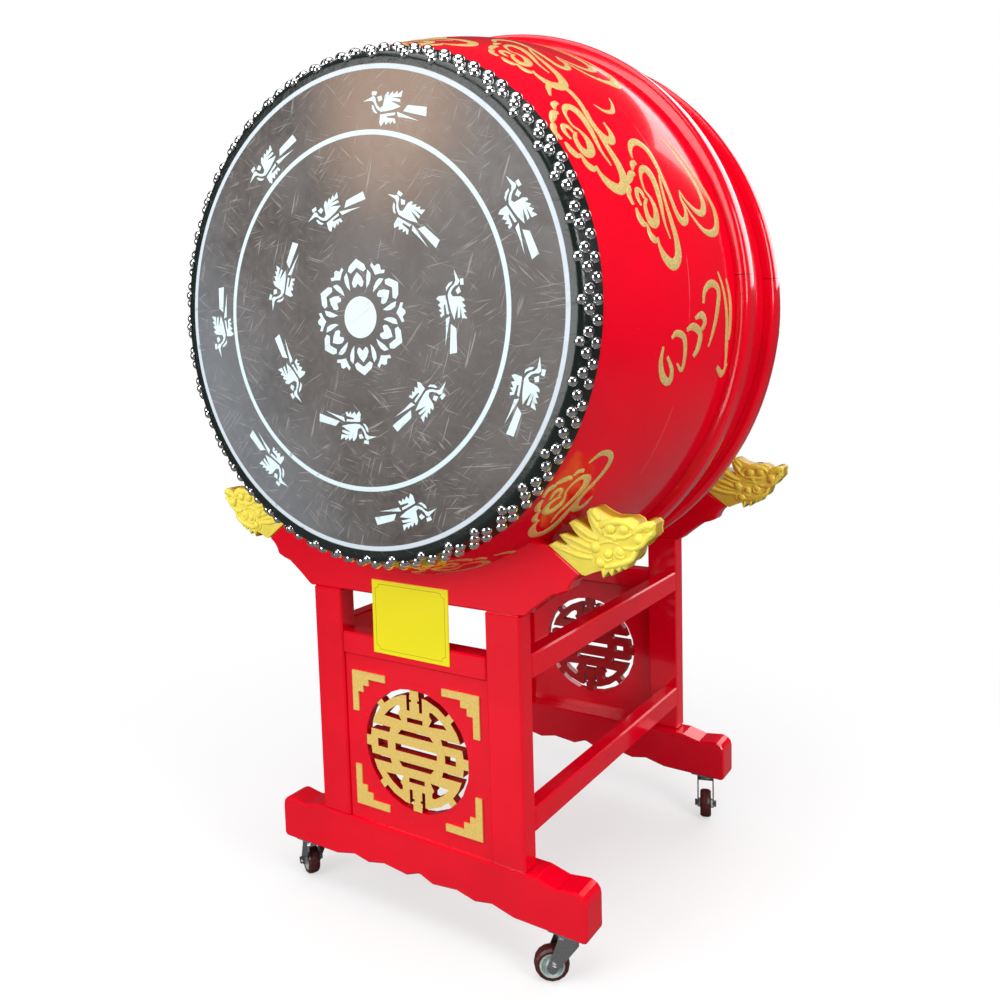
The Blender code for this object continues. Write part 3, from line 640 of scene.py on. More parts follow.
@dataclass(frozen=True)
class StudRow:
    """One row of studs.

    Attributes:
        y: its distance from the drum's middle, or None on the rounded end.
        turn: its turn on the rounded end, in degrees.
        count: how many studs it has.
        phase: its start, in studs.
        size: its studs' size, as a share of the widest.
    """

    y: float | None
    turn: float
    count: int
    phase: float
    size: float


STUD_ROWS = (
    StudRow(0.4530, 0.0, 88, 0.0, 1.0),
    StudRow(0.4665, 0.0, 88, 0.5, 0.97),
    StudRow(None, 60.0, 44, 0.0, 0.84),
)
STUD_RADIUS = 0.0098
STUD_FLATTEN = 0.82
STUD_WOBBLE = 0.06


def stud_dome() -> bpy.types.Mesh:
    """Makes the widest stud, which the others are copies of."""
    dome = bmesh.new()
    bmesh.ops.create_uvsphere(dome, u_segments=14, v_segments=12, radius=STUD_RADIUS)
    everything = list(dome.verts) + list(dome.edges) + list(dome.faces)
    bmesh.ops.bisect_plane(dome, geom=everything, plane_co=(0.0, 0.0, 0.0), plane_no=(0.0, 0.0, 1.0), clear_inner=True)
    bmesh.ops.holes_fill(dome, edges=[e for e in dome.edges if e.is_boundary], sides=0)
    bmesh.ops.scale(dome, vec=(1.0, 1.0, STUD_FLATTEN), verts=dome.verts)
    mesh = bpy.data.meshes.new("stud")
    dome.to_mesh(mesh)
    dome.free()
    return mesh


@dataclass
class Drum:
    """The barrel with its hoops, heads, studs and painted patterns.

    Attributes:
        half_length: half the wooden shell's length.
        belly_radius: the shell's radius at its middle.
        end_radius: the shell's radius at its ends.
        power: how the belly falls to the ends.
        wall: the shell's thickness.
        edge: the radius that the shell's ends are rounded to.
        skin: the hide's thickness with its fit on the wood.
        lap: how far the hide laps down the shell's side.
        hoop_y: the distance of each belly hoop from the middle.
        hoop_width: the hoop's width along the drum.
        hoop_height: how far the hoop stands out.
        hoop_edge: the radius of the hoop's edges.
        hoop_crown: how much higher the hoop's middle is.
        steps: how many steps a full turn has.
    """

    paints: Paints
    half_length: float = 0.477
    belly_radius: float = 0.520
    end_radius: float = 0.416
    power: float = 2.3
    wall: float = 0.024
    edge: float = 0.010
    skin: float = 0.0030
    lap: float = 0.034
    hoop_y: float = 0.079
    hoop_width: float = 0.045
    hoop_height: float = 0.020
    hoop_edge: float = 0.0085
    hoop_crown: float = 0.0006
    steps: int = 180

    def radius(self, y: float) -> float:
        """The shell's radius at a distance from its middle."""
        return self.belly_radius - (self.belly_radius - self.end_radius) * (abs(y) / self.half_length) ** self.power

    def slant(self, y: float) -> float:
        """The turn of the shell's side, at a distance from its middle."""
        fall = self.belly_radius - self.end_radius
        return math.atan(fall * self.power * (y / self.half_length) ** (self.power - 1.0) / self.half_length)

    def side(self, y: float, off: float) -> Point:
        """An (r, y) point that lies off the shell's side."""
        turn = self.slant(y)
        return self.radius(y) + off * math.cos(turn), y + off * math.sin(turn)

    def shoulder_centre(self) -> Point:
        """The middle of the rounded end, as an (r, y) point."""
        turn = self.slant(self.half_length)
        return self.end_radius - self.edge * (1.0 / math.cos(turn) - math.tan(turn)), self.half_length - self.edge

    def shoulder(self, off: float, steps: int = 10) -> list[Point]:
        """The rounded end, from the face to the side."""
        turn = math.degrees(self.slant(self.half_length))
        return arc(self.shoulder_centre(), self.edge + off, 90.0, turn, steps)

    def build_shell(self) -> None:
        """Makes the lacquered barrel."""
        rows, bore_rows = 30, 8
        end = self.shoulder(0.0, 6)
        outer = end + [self.side(end[-1][1] * (1.0 - i / rows), 0.0) for i in range(1, rows + 1)]
        outer += [(r, -y) for r, y in reversed(outer[:-1])]
        bore = [(self.radius(y) - self.wall, y)
                for y in (self.half_length * i / bore_rows for i in range(-bore_rows, bore_rows + 1))]
        put("barrel", lathe(outer + bore, self.steps, closed=True), "drum", self.paints.shell,
            ("drum_shell",))

    def build_hoop(self, name: str, side: float) -> None:
        """Makes one raised hoop.

        Args:
            name: the node that it stands for.
            side: minus one for the front hoop and one for the rear one.
        """
        middle = side * self.hoop_y
        low, high = middle - self.hoop_width / 2.0, middle + self.hoop_width / 2.0
        top = self.radius(middle) + self.hoop_height
        round_ = self.hoop_edge
        seat = [(self.radius(y) + FIT, y) for y in (low + (high - low) * i / 4.0 for i in range(5))]
        crown = arc((top - round_, high - round_), round_, 90.0, 0.0, 6) + [(top + self.hoop_crown, middle)]
        crown += arc((top - round_, low + round_), round_, 0.0, -90.0, 6)
        put(name + "_ring", lathe(seat + crown, self.steps, closed=True), "drum", self.paints.hoop,
            (name,))

    def build_head(self, name: str, side: float) -> None:
        """Makes one hide, stretched over the end and lapped down the side."""
        edge_y = self.half_length - self.lap
        start = self.half_length - self.edge
        rows = [start + (edge_y - start) * i / 6.0 for i in range(1, 7)]
        outside = self.shoulder(self.skin) + [self.side(y, self.skin) for y in rows]
        inside = self.shoulder(FIT) + [self.side(y, FIT) for y in rows]
        face_y = outside[0][1]
        flat = [(0.0, face_y), (0.10, face_y), (0.25, face_y), (0.38, face_y)]
        profile = flat + outside + list(reversed(inside)) + [(0.0, inside[0][1])]
        turned = [(r, side * y) for r, y in profile]
        put(name + "_hide", lathe(turned, self.steps), "drum", self.paints.hide, (name,))

    def stud_seat(self, row: StudRow) -> tuple[Point, float]:
        """Where a row of studs sits on the hide.

        Args:
            row: the row.

        Returns:
            The (r, y) point and the slant of the surface there.
        """
        if row.y is not None:
            return self.side(row.y, self.skin), self.slant(row.y)
        reach = self.edge + self.skin
        centre = self.shoulder_centre()
        angle = math.radians(row.turn)
        return (centre[0] + reach * math.cos(angle), centre[1] + reach * math.sin(angle)), angle

    def build_studs(self, name: str, side: float) -> None:
        """Makes one head's three rows of polished domed studs."""
        template = stud_dome()
        studs = bmesh.new()
        for row in STUD_ROWS:
            (r, along), slant = self.stud_seat(row)
            for i in range(row.count):
                wobble = STUD_WOBBLE * math.sin(i * 2.7 + row.count)
                angle = math.tau * (i + row.phase + wobble) / row.count
                out = Vector((math.cos(angle) * math.cos(slant), side * math.sin(slant),
                              math.sin(angle) * math.cos(slant)))
                spot = Vector((r * math.cos(angle), side * along, AXIS_Z + r * math.sin(angle)))
                seat = Matrix.Translation(spot) @ out.to_track_quat("Z", "Y").to_matrix().to_4x4()
                copy = template.copy()
                copy.transform(seat @ Matrix.Scale(row.size, 4))
                studs.from_mesh(copy)
                bpy.data.meshes.remove(copy)
        put(name + "_studs", studs, "drum", self.paints.stud, smooth=60.0)

    def build(self) -> None:
        """Makes the whole drum."""
        self.build_shell()
        for row, side in (("front", -1.0), ("rear", 1.0)):
            self.build_hoop(row + "_hoop", side)
            self.build_head(row + "_head", side)
            self.build_studs(row, side)
            Stencils(self.paints, side).build(row)
            Scrolls(self.paints, self, side).build(row)


BIRD = (
    ((-53.9, 16.3), (-43.7, 17.3), (-43.9, 11.3), (-53.2, 10.2)),
    ((-41.8, 8.8), (-33.3, 12.0), (-29.8, 6.0), (-36.1, 2.1)),
    ((-68.7, -0.7), (-54.6, 6.8), (-49.6, 9.9), (-44.7, 7.1), (-42.5, 1.4), (-38.3, -3.5), (-31.9, -7.1),
     (-26.9, -3.5), (-26.2, 12.0), (-22.7, 17.7), (-19.1, 18.7), (-18.4, 13.0), (-11.3, 20.6), (-9.2, 15.6),
     (-2.6, 22.0), (-1.1, 17.0), (7.8, 23.4), (7.1, 13.5), (-12.8, 11.3), (5.7, 9.9), (7.1, 5.7), (-13.5, 6.0),
     (9.2, -0.7), (-5.7, -7.1), (-18.4, -10.6), (-28.3, -12.8), (-35.4, -10.6), (-41.1, -6.4), (-45.4, -0.7),
     (-51.0, 2.1), (-56.0, 1.4)),
    ((-50.3, -3.5), (-46.1, -5.0), (-41.1, -11.3), (-35.4, -15.6), (-41.1, -15.9), (-47.5, -10.6)),
    ((-29.1, -17.0), (-14.2, -13.5), (0.7, -10.6), (0.0, -14.9), (-15.6, -17.7), (-14.2, -20.3), (1.4, -19.8),
     (5.0, -26.2), (0.7, -27.6), (-1.7, -23.4), (-6.1, -29.8), (-8.5, -24.8), (-14.6, -31.5), (-18.4, -26.2),
     (-24.1, -34.7), (-28.3, -29.8)),
    ((22.7, 2.8), (60.2, 3.5), (62.1, -10.2), (15.3, -7.4)),
    ((3.5, -9.2), (11.3, -10.6), (49.6, -18.4), (28.3, -16.7), (7.1, -16.7)),
)
CHEVRON = ((97.0, 0.0), (86.0, 16.5), (78.0, 19.5), (74.0, 13.5), (82.5, 0.0), (74.0, -13.5), (78.0, -19.5),
           (86.0, -16.5))
HEART = ((75.0, 0.0), (67.0, 8.0), (58.0, 12.5), (51.5, 10.5), (49.5, 6.5), (56.0, 0.0), (49.5, -6.5), (51.5, -10.5),
         (58.0, -12.5), (67.0, -8.0))
LEAF = ((76.5, 22.5), (70.0, 28.5), (61.0, 28.0), (52.5, 24.0), (46.0, 17.5), (55.0, 18.5), (66.0, 19.5))
TREFOIL = ((76.0, 0.0), (82.0, 8.0), (86.0, 16.0), (91.5, 15.0), (88.0, 7.5), (94.5, 2.5), (94.5, -2.5), (88.0, -7.5),
           (91.5, -15.0), (86.0, -16.0), (82.0, -8.0))


@dataclass
class Stencils:
    """The white figures on a head: two rings of seven flying birds round an open lotus.

    Attributes:
        side: minus one on the front head and one on the rear head.
        face_y: the distance of the head's face from the middle.
        thickness: the paint's thickness.
        lotus_centre: the middle of the lotus.
        disc_radius: the radius of its disc.
        petal_turn: the place of its first petal, in degrees.
        inner_ring: the inner birds' distance from the middle of the lotus and their places, in degrees.
        outer_ring: the outer birds', in the same way.
    """

    paints: Paints
    side: float
    face_y: float = 0.480
    thickness: float = 0.0002
    lotus_centre: Point = (0.0108, -0.0043)
    disc_radius: float = 0.0346
    petal_turn: float = 92.5
    inner_ring: tuple[float, Link] = (0.190, ((102.5, 2.0), (51.2, -3.0), (-1.3, 0.0), (-52.7, 0.0), (-102.8, 0.0),
                                              (-154.9, 0.0), (154.1, -2.0)))
    outer_ring: tuple[float, Link] = (0.340, ((122.8, -3.0), (74.4, 0.0), (22.2, 0.0), (-23.8, 0.0), (-77.0, 2.0),
                                              (-133.6, -3.0), (178.1, -1.0)))

    def _place(self, across: float, up: float) -> Callable[[Vector], Vector]:
        """Puts a figure drawn in millimetres about a point of the face."""
        def moved(p: Vector) -> Vector:
            y = self.side * (self.face_y + p.z)
            return Vector(((across + p.x / MM) * -self.side, y, AXIS_Z + up + p.y / MM))
        return moved

    def _bird(self, figures: bmesh.types.BMesh, radius: float, degrees: float, tilt: float) -> None:
        """Adds one bird, flying round the head."""
        angle = math.radians(degrees)
        lean = math.radians(degrees - 90.0 + tilt)
        cx, cz = self.lotus_centre
        spot = (cx + radius * math.cos(angle), cz + radius * math.sin(angle))
        for outline in BIRD:
            turned = [(x * math.cos(lean) - z * math.sin(lean), x * math.sin(lean) + z * math.cos(lean))
                      for x, z in outline]
            gather(figures, slab(turned, self.thickness), self._place(*spot))

    def _petal(self, figures: bmesh.types.BMesh, outline: Link, degrees: float, flip: float = 1.0) -> None:
        """Adds one petal of the lotus, given as distances out and across."""
        angle = math.radians(degrees)
        turned = [(out * math.cos(angle) - flip * across * math.sin(angle),
                   out * math.sin(angle) + flip * across * math.cos(angle)) for out, across in outline]
        gather(figures, slab(turned, self.thickness), self._place(*self.lotus_centre))

    def build(self, row: str) -> None:
        """Makes the head's figures as one piece."""
        figures = bmesh.new()
        for radius, birds in (self.inner_ring, self.outer_ring):
            for degrees, tilt in birds:
                self._bird(figures, radius, degrees, tilt)
        disc = arc((0.0, 0.0), self.disc_radius * MM, 0.0, 352.5, 47)
        gather(figures, slab(disc, self.thickness), self._place(*self.lotus_centre))
        for i in range(6):
            turn = self.petal_turn + 60.0 * i
            self._petal(figures, CHEVRON, turn)
            self._petal(figures, HEART, turn)
            self._petal(figures, LEAF, turn)
            self._petal(figures, LEAF, turn, -1.0)
            self._petal(figures, TREFOIL, turn + 30.0)
        put(row + "_head_figures", figures, "drum", self.paints.stencil, smooth=20.0)


HEAD_CURLS = (
    ((11.8, 61.9, 1.2), (7.1, 32.8, 2.3), (11.8, -3.6, 4.1), (14.2, -32.8, 5.2), (9.4, -51, 6.4), (-2.4, -52.8, 4.6),
     (-13, -40, 2.3), (-16.5, -18.2, 1.7), (-9.4, -3.6, 2.3), (-6.6, 14.6, 4.1), (-11.8, 32.8, 5.8),
     (-21.2, 36.4, 6.4), (-28.3, 25.5, 4.1), (-27.1, 7.3, 2.9), (-18.9, -3.6, 2.3)),
    ((34.2, -43.7, 1.7), (27.1, -21.8, 2.3), (23.6, 7.3, 2.9), (24.8, 36.4, 4.1), (27.1, 65.5, 5.2), (23.6, 91, 7),
     (9.4, 101.9, 7.5), (-7.1, 91, 5.8), (-16.5, 72.8, 2.9), (-17.7, 58.2, 1.4)),
    ((-17.7, 61.9, 1.7), (-26, 61.9, 4.6), (-33, 51, 3.5), (-34.2, 36.4, 1.4)),
    ((-34.2, 36.4, 1.7), (-41.3, 36.4, 4.1), (-47.2, 25.5, 4.1), (-48.4, 10.9, 1.7)),
    ((-51.9, 5.5, 2.3), (-54.3, -10.9, 3.5), (-48.4, -21.8, 4.1), (-44.8, -21.8, 1.7)),
    ((-48.4, -27.3, 1.4), (-40.1, -36.4, 4.6), (-30.7, -45.5, 4.6), (-23.6, -43.7, 2.3)),
    ((-24.8, -51, 1.4), (-18.9, -61.9, 4.1), (-9.4, -65.5, 3.5)),
    ((-35.4, 7.3, 1.7), (-37.8, -7.3, 2.9), (-33, -18.2, 3.5), (-26, -14.6, 2.9), (-23.6, -3.6, 1.7)),
)
LONG_TAIL = (
    ((-11.8, -72.8, 1.4), (-7.1, -87.4, 2.9), (4.7, -100.1, 4.6), (21.2, -103.7, 5.8), (35.4, -91, 5.2),
     (38.9, -65.5, 4.1), (38.9, -36.4, 3.5), (41.3, -3.6, 3.5), (44.8, 21.8, 4.1), (54.3, 34.6, 5.8),
     (66.1, 30.9, 5.2), (72, 14.6, 2.9), (69.6, -3.6, 2.3), (72, -14.6, 1.4)),
    ((72, -18.2, 1.7), (82.6, 0, 2.3), (103.8, 16.4, 4.1), (122.7, 18.2, 5.2), (136.9, 3.6, 6.4),
     (136.9, -21.8, 4.6), (125.1, -58.2, 3.5), (108.6, -98.3, 2.3), (96.8, -120.1, 1.2)),
    ((72, 0, 1.4), (87.3, 25.5, 2.3), (110.9, 47.3, 3.5), (136.9, 52.8, 5.2), (160.5, 43.7, 6.4), (172.3, 18.2, 6.4),
     (167.6, -7.3, 4.6), (151, -43.7, 3.5), (129.8, -91, 2.3), (115.6, -116.5, 1.2)),
)
SHORT_TAIL = (
    ((-9.4, -81.9, 1.4), (5.9, -103.7, 4.1), (24.8, -107.4, 5.2), (36.6, -92.8, 4.1), (34.2, -60.1, 3.5),
     (26, -27.3, 3.5), (26, 1.8, 4.6), (36.6, 20, 6.4), (48.4, 9.1, 4.1), (50.7, -16.4, 1.4)),
)
CURL_ROW = (
    ((-45.3, 20.6, 1.9), (-45.4, 46.3, 3.9), (-31.7, 70, 5.2), (-14.8, 75.7, 4.9), (-15.6, 57, 3.5), (-32.4, 36, 2)),
    ((-27.8, 7.6, 2), (-16.7, -0.3, 4.2), (3.3, 5.7, 4.4), (11.5, 30.7, 3.7), (10.6, 57.3, 3), (-6.1, 46.5, 1.4)),
    ((8.6, -5.8, 2.2), (26.3, -11.4, 5.2), (47.4, -1.2, 5.2), (46.9, 20.1, 5.2), (36.5, 36.1, 3.2)),
    ((29.6, -24.5, 2.3), (48.8, -30.2, 5), (60, -19.9, 4.3), (51.5, -6.5, 3.3)),
    ((53.2, -48.7, 2.5), (59.1, -70, 4.3), (81.7, -81.7, 5.2), (103.6, -71.9, 5.2), (99.4, -39.5, 5.2),
     (89.2, -7, 3.7), (78.5, 20.1, 1.8)),
    ((105.8, -101.8, 2), (122.1, -72.7, 3.1), (134.6, -34.9, 4.3), (142.6, 9.1, 5.2), (153.6, 54.3, 3.4)),
    ((135.1, -92.4, 2.1), (147.4, -57.2, 4.5), (151, -13.1, 4.5), (150.8, 9.1, 2.2)),
    ((120.2, 53.6, 3.1), (146.4, 66.7, 5.2), (157.8, 48.7, 3.5)),
)
CRESCENT = (((-24, -10, 0.6), (-12, 6, 3), (6, 8, 3.6), (22, -8, 2), (30, -24, 0.6)),)


class Motif(Enum):
    """The painted figures on the barrel."""

    CLOUD = HEAD_CURLS + LONG_TAIL
    WISP = HEAD_CURLS + SHORT_TAIL
    CRESCENT = CRESCENT
    CURLS = CURL_ROW


@dataclass
class Scrolls:
    """The gold cloud scrolls on one half of the barrel.

    Attributes:
        side: minus one on the front half and one on the rear half.
        spots: each figure with its distance from the middle, its place round the barrel, its turn in degrees
            and its size.
        clear_y: how near to the drum's end the paint may come.
        lift: how far the paint's underside is off the lacquer.
        thinnest: the least half width of a stroke, in millimetres.
        boldness: how much bolder the strokes are than drawn.
        thickness: the paint's thickness.
    """

    paints: Paints
    drum: Drum
    side: float
    spots: tuple[tuple[Motif, float, float, float, float], ...] = (
        (Motif.CLOUD, 0.304, 18.4, 0.0, 1.0), (Motif.WISP, 0.381, 33.5, 0.0, 1.0),
        (Motif.CRESCENT, 0.296, 39.0, 0.0, 1.0), (Motif.CURLS, 0.272, -6.0, 0.0, 1.0),
        (Motif.WISP, 0.384, -42.0, 0.0, 0.9), (Motif.CLOUD, 0.330, 58.0, -20.0, 1.0),
        (Motif.WISP, 0.380, 80.0, 0.0, 1.0), (Motif.CRESCENT, 0.200, 47.0, 0.0, 1.2),
        (Motif.CLOUD, 0.304, 104.0, 0.0, 1.0), (Motif.WISP, 0.375, 127.0, 0.0, 1.0),
        (Motif.CLOUD, 0.310, 152.0, 0.0, 1.0), (Motif.WISP, 0.381, 176.0, 0.0, 1.0),
        (Motif.CLOUD, 0.304, 200.0, 0.0, 1.0), (Motif.CURLS, 0.272, 228.0, 0.0, 1.0),
        (Motif.CLOUD, 0.310, 254.0, 0.0, 1.0), (Motif.WISP, 0.378, 286.0, 0.0, 1.0),
    )
    clear_y: float = 0.445
    lift: float = 0.0001
    thinnest: float = 0.8
    boldness: float = 1.2
    thickness: float = 0.00035

    def _place(self, along: float, degrees: float, turn: float, size: float) -> Callable[[Vector], Vector]:
        """Lays a figure drawn in millimetres on the barrel."""
        cos, sin = math.cos(math.radians(turn)), math.sin(math.radians(turn))
        def moved(p: Vector) -> Vector:
            u, v = p.x * size / MM, -p.y * size / MM
            y = min(self.clear_y, along - (u * cos - v * sin))
            r = self.drum.radius(y)
            angle = math.radians(degrees) + (u * sin + v * cos) / r
            reach, spot_y = self.drum.side(abs(y), self.lift + p.z)
            spot_y = math.copysign(spot_y, y)
            return Vector((reach * math.cos(angle), self.side * spot_y, AXIS_Z + reach * math.sin(angle)))
        return moved

    def build(self, row: str) -> None:
        """Makes the half's scrolls as one piece."""
        paint = bmesh.new()
        high = self.thickness
        section = ((-1.0, 0.0), (-0.85, high), (0.0, high * 1.3), (0.85, high), (1.0, 0.0))
        for motif, along, degrees, turn, size in self.spots:
            for points in motif.value:
                line = smooth_line(points, 6)
                route = [Vector((p.x, p.y)) for p in line]
                widths = [max(self.thinnest, p.z * self.boldness) for p in line]
                gather(paint, stroke(route, widths, section), self._place(along, degrees, turn, size))
        put(row + "_cloud_scrolls", paint, "drum", self.paints.scroll, smooth=60.0)


# The stand

HEAD_EDGE = (
    (62.6, 151.8), (75.6, 159.3), (93.2, 154.4), (97.7, 156.1), (89.1, 163.4), (82.4, 170.9), (93.2, 173.3),
    (108.0, 169.6), (119.3, 168.5), (109.4, 179.6), (99.9, 191.7), (109.4, 197.1), (124.2, 190.4), (142.3, 180.4),
    (135.0, 197.1), (131.8, 212.0), (137.7, 217.6), (147.2, 218.7), (159.3, 211.1), (172.8, 205.7), (189.0, 204.7),
    (205.2, 207.1), (214.7, 202.0), (218.2, 195.8), (228.2, 201.2), (239.0, 204.4), (244.4, 199.8), (243.0, 191.7),
    (243.8, 183.6), (237.6, 175.5), (230.0, 169.6), (220.1, 163.4), (213.3, 147.2), (198.5, 131.0), (195.8, 124.7),
    (189.8, 127.4), (185.8, 119.9), (178.7, 124.2), (172.8, 112.1), (167.9, 119.3), (158.8, 107.5), (155.2, 119.3),
    (140.4, 113.4), (128.0, 107.5), (121.0, 108.6),
)
HEAD_KNOBS = (
    (172.8, 188.5, 9.7), (194.9, 189.0, 9.2), (220.1, 175.0, 9.7), (146.3, 156.1, 9.2), (154.4, 131.8, 8.6),
    (167.9, 147.2, 8.1), (233.6, 193.9, 8.1), (189.0, 151.2, 7.0), (179.6, 172.8, 6.5),
)
HEAD_RIDGES = (
    ((151.2, 186.3, 2.2), (164.7, 195.8, 4.3), (183.6, 199.8, 5.4), (201.2, 197.1, 4.3), (212.0, 189.0, 2.2)),
    ((162.0, 176.9, 1.6), (175.5, 175.5, 3.2), (194.4, 175.5, 3.2), (209.2, 182.2, 1.6)),
    ((210.6, 182.2, 2.7), (221.4, 191.7, 4.9), (234.9, 197.1, 5.9), (243.0, 195.8, 3.8)),
    ((242.4, 185.0, 2.7), (234.9, 182.2, 3.8), (224.1, 167.4, 3.8), (210.6, 159.3, 3.2), (194.4, 159.3, 2.2)),
    ((214.0, 156.6, 2.7), (206.9, 143.1, 3.8), (194.4, 135.7, 4.3), (175.5, 129.2, 3.8), (162.0, 125.2, 2.2)),
    ((197.1, 147.2, 1.6), (189.0, 143.1, 2.7), (180.9, 148.5, 2.7), (183.6, 156.6, 2.2), (193.1, 156.1, 1.4)),
    ((175.5, 140.4, 1.4), (167.4, 136.4, 2.4), (159.3, 141.8, 2.4), (162.0, 149.9, 1.9), (171.5, 151.2, 1.4)),
    ((153.9, 199.8, 2.7), (144.5, 210.0, 3.8), (140.4, 214.7, 1.6)),
    ((159.3, 178.2, 2.2), (148.5, 191.7, 3.8), (140.4, 205.9, 3.2), (136.4, 213.3, 1.4)),
    ((151.2, 168.8, 2.2), (135.0, 174.8, 3.8), (118.1, 185.0, 3.8), (104.0, 192.2, 1.4)),
    ((147.2, 163.4, 1.6), (132.3, 167.1, 2.7), (118.1, 174.9, 2.2), (109.0, 182.3, 1.1)),
    ((145.8, 151.2, 2.2), (126.9, 158.6, 3.8), (107.3, 165.4, 3.2), (88.4, 170.1, 1.4)),
    ((140.4, 145.8, 1.6), (118.8, 149.5, 2.7), (101.9, 155.6, 1.6)),
    ((143.1, 137.7, 2.2), (116.1, 140.4, 3.8), (90.4, 147.2, 3.2), (68.4, 152.6, 1.4)),
    ((151.2, 159.3, 1.4), (162.0, 166.1, 2.4), (175.5, 167.4, 2.4), (186.3, 163.4, 1.4)),
    ((162.0, 124.2, 1.6), (159.8, 116.1, 2.2), (158.8, 109.5, 0.8)),
    ((175.5, 125.6, 1.6), (174.2, 118.8, 2.2), (172.8, 113.9, 0.8)),
    ((187.7, 129.1, 1.6), (186.3, 124.7, 1.9), (185.8, 121.7, 0.8)),
    ((151.2, 121.5, 1.6), (143.1, 129.6, 2.4), (145.8, 140.4, 1.9)),
)


@dataclass
class DragonHead:
    """A carved dragon head at a yoke's end, in relief on both faces of its plank.

    Attributes:
        row: front or rear.
        hand: left or right.
        side: minus one on the front frame and one on the rear frame.
        turn: one on the right and minus one on the left.
        outer_y: how far the plank's outer face is from the stand's middle.
        thickness: the plank's thickness.
        corner: the place that the carving is drawn from.
    """

    paints: Paints
    row: str
    hand: str
    side: float
    turn: float
    outer_y: float = 0.3835
    thickness: float = 0.041
    corner: Point = (0.230, 0.620)

    def _place(self, outwards: bool) -> Callable[[Vector], Vector]:
        """Puts carving drawn in millimetres on the plank's outer or inner face."""
        def moved(p: Vector) -> Vector:
            depth = self.outer_y + p.z / MM if outwards else self.outer_y - self.thickness - p.z / MM
            return Vector((self.turn * (self.corner[0] + p.x / MM), STAND_MIDDLE_Y + self.side * depth,
                           self.corner[1] + p.y / MM))
        return moved

    def build(self) -> None:
        """Makes the head."""
        carving = bmesh.new()
        plank = slab(HEAD_EDGE, self.thickness * MM)
        for vert in plank.verts:
            vert.co.z -= self.thickness * MM
        edges = [e for e in plank.edges if abs(e.verts[0].co.z - e.verts[1].co.z) < 1e-6]
        bmesh.ops.bevel(plank, geom=edges, offset=1.2, offset_type="OFFSET", segments=2, profile=0.5, affect="EDGES",
                        material=-1)
        gather(carving, plank, self._place(True))
        for outwards in (True, False):
            for cx, cz, radius in HEAD_KNOBS:
                knob = bmesh.new()
                bmesh.ops.create_uvsphere(knob, u_segments=20, v_segments=14, radius=radius)
                bmesh.ops.scale(knob, vec=(1.0, 1.0, 0.62), verts=knob.verts)
                bmesh.ops.translate(knob, vec=(cx, cz, -0.8), verts=knob.verts)
                gather(carving, knob, self._place(outwards))
            for ridge in HEAD_RIDGES:
                line = smooth_line(ridge, 6)
                high = max(p.z for p in line) * 0.95
                section = tuple((math.cos(math.pi * (1.0 - i / 8.0)) * 1.25, high * math.sin(math.pi * i / 8.0) - 0.4)
                                for i in range(9))
                route = [Vector((p.x, p.y)) for p in line]
                gather(carving, stroke(route, [max(0.5, p.z) for p in line], section), self._place(outwards))
        node = f"{self.row}_{self.hand}_dragon_head"
        put(f"{self.row}_{self.hand}_dragon_carving", carving, "stand", self.paints.carving, (node,),
            smooth=50.0)


@dataclass
class Stand:
    """The stand, which keeps most of the frame's own solids."""

    paints: Paints
    frame: dict = field(repr=False)

    def build(self) -> None:
        """Gives the frame's solids their finishes, and makes the carved heads."""
        slots = {part["node"]: part["material_slot"] for part in self.frame["record"]["subparts"]}
        for name, node in self.frame["nodes"].items():
            node.data.materials.clear()
            node.data.materials.append(self.paints.of_slot(slots[name]))
        for row, side in (("front", -1.0), ("rear", 1.0)):
            for hand, turn in (("left", -1.0), ("right", 1.0)):
                DragonHead(self.paints, row, hand, side, turn).build()


# The studio


@dataclass(frozen=True)
class Lamp:
    """A square soft lamp: its place, the length of its side and its power in watts."""

    name: str
    place: tuple[float, float, float]
    size: float
    power: float


LAMPS = (
    Lamp("overhead", (0.2, -0.9, 3.6), 2.6, 62.0),
    Lamp("ahead", (-1.3, -3.6, 1.7), 2.4, 84.0),
    Lamp("window", (3.2, -0.9, 2.0), 1.5, 56.0),
    Lamp("behind", (0.6, 3.4, 2.6), 2.4, 40.0),
)


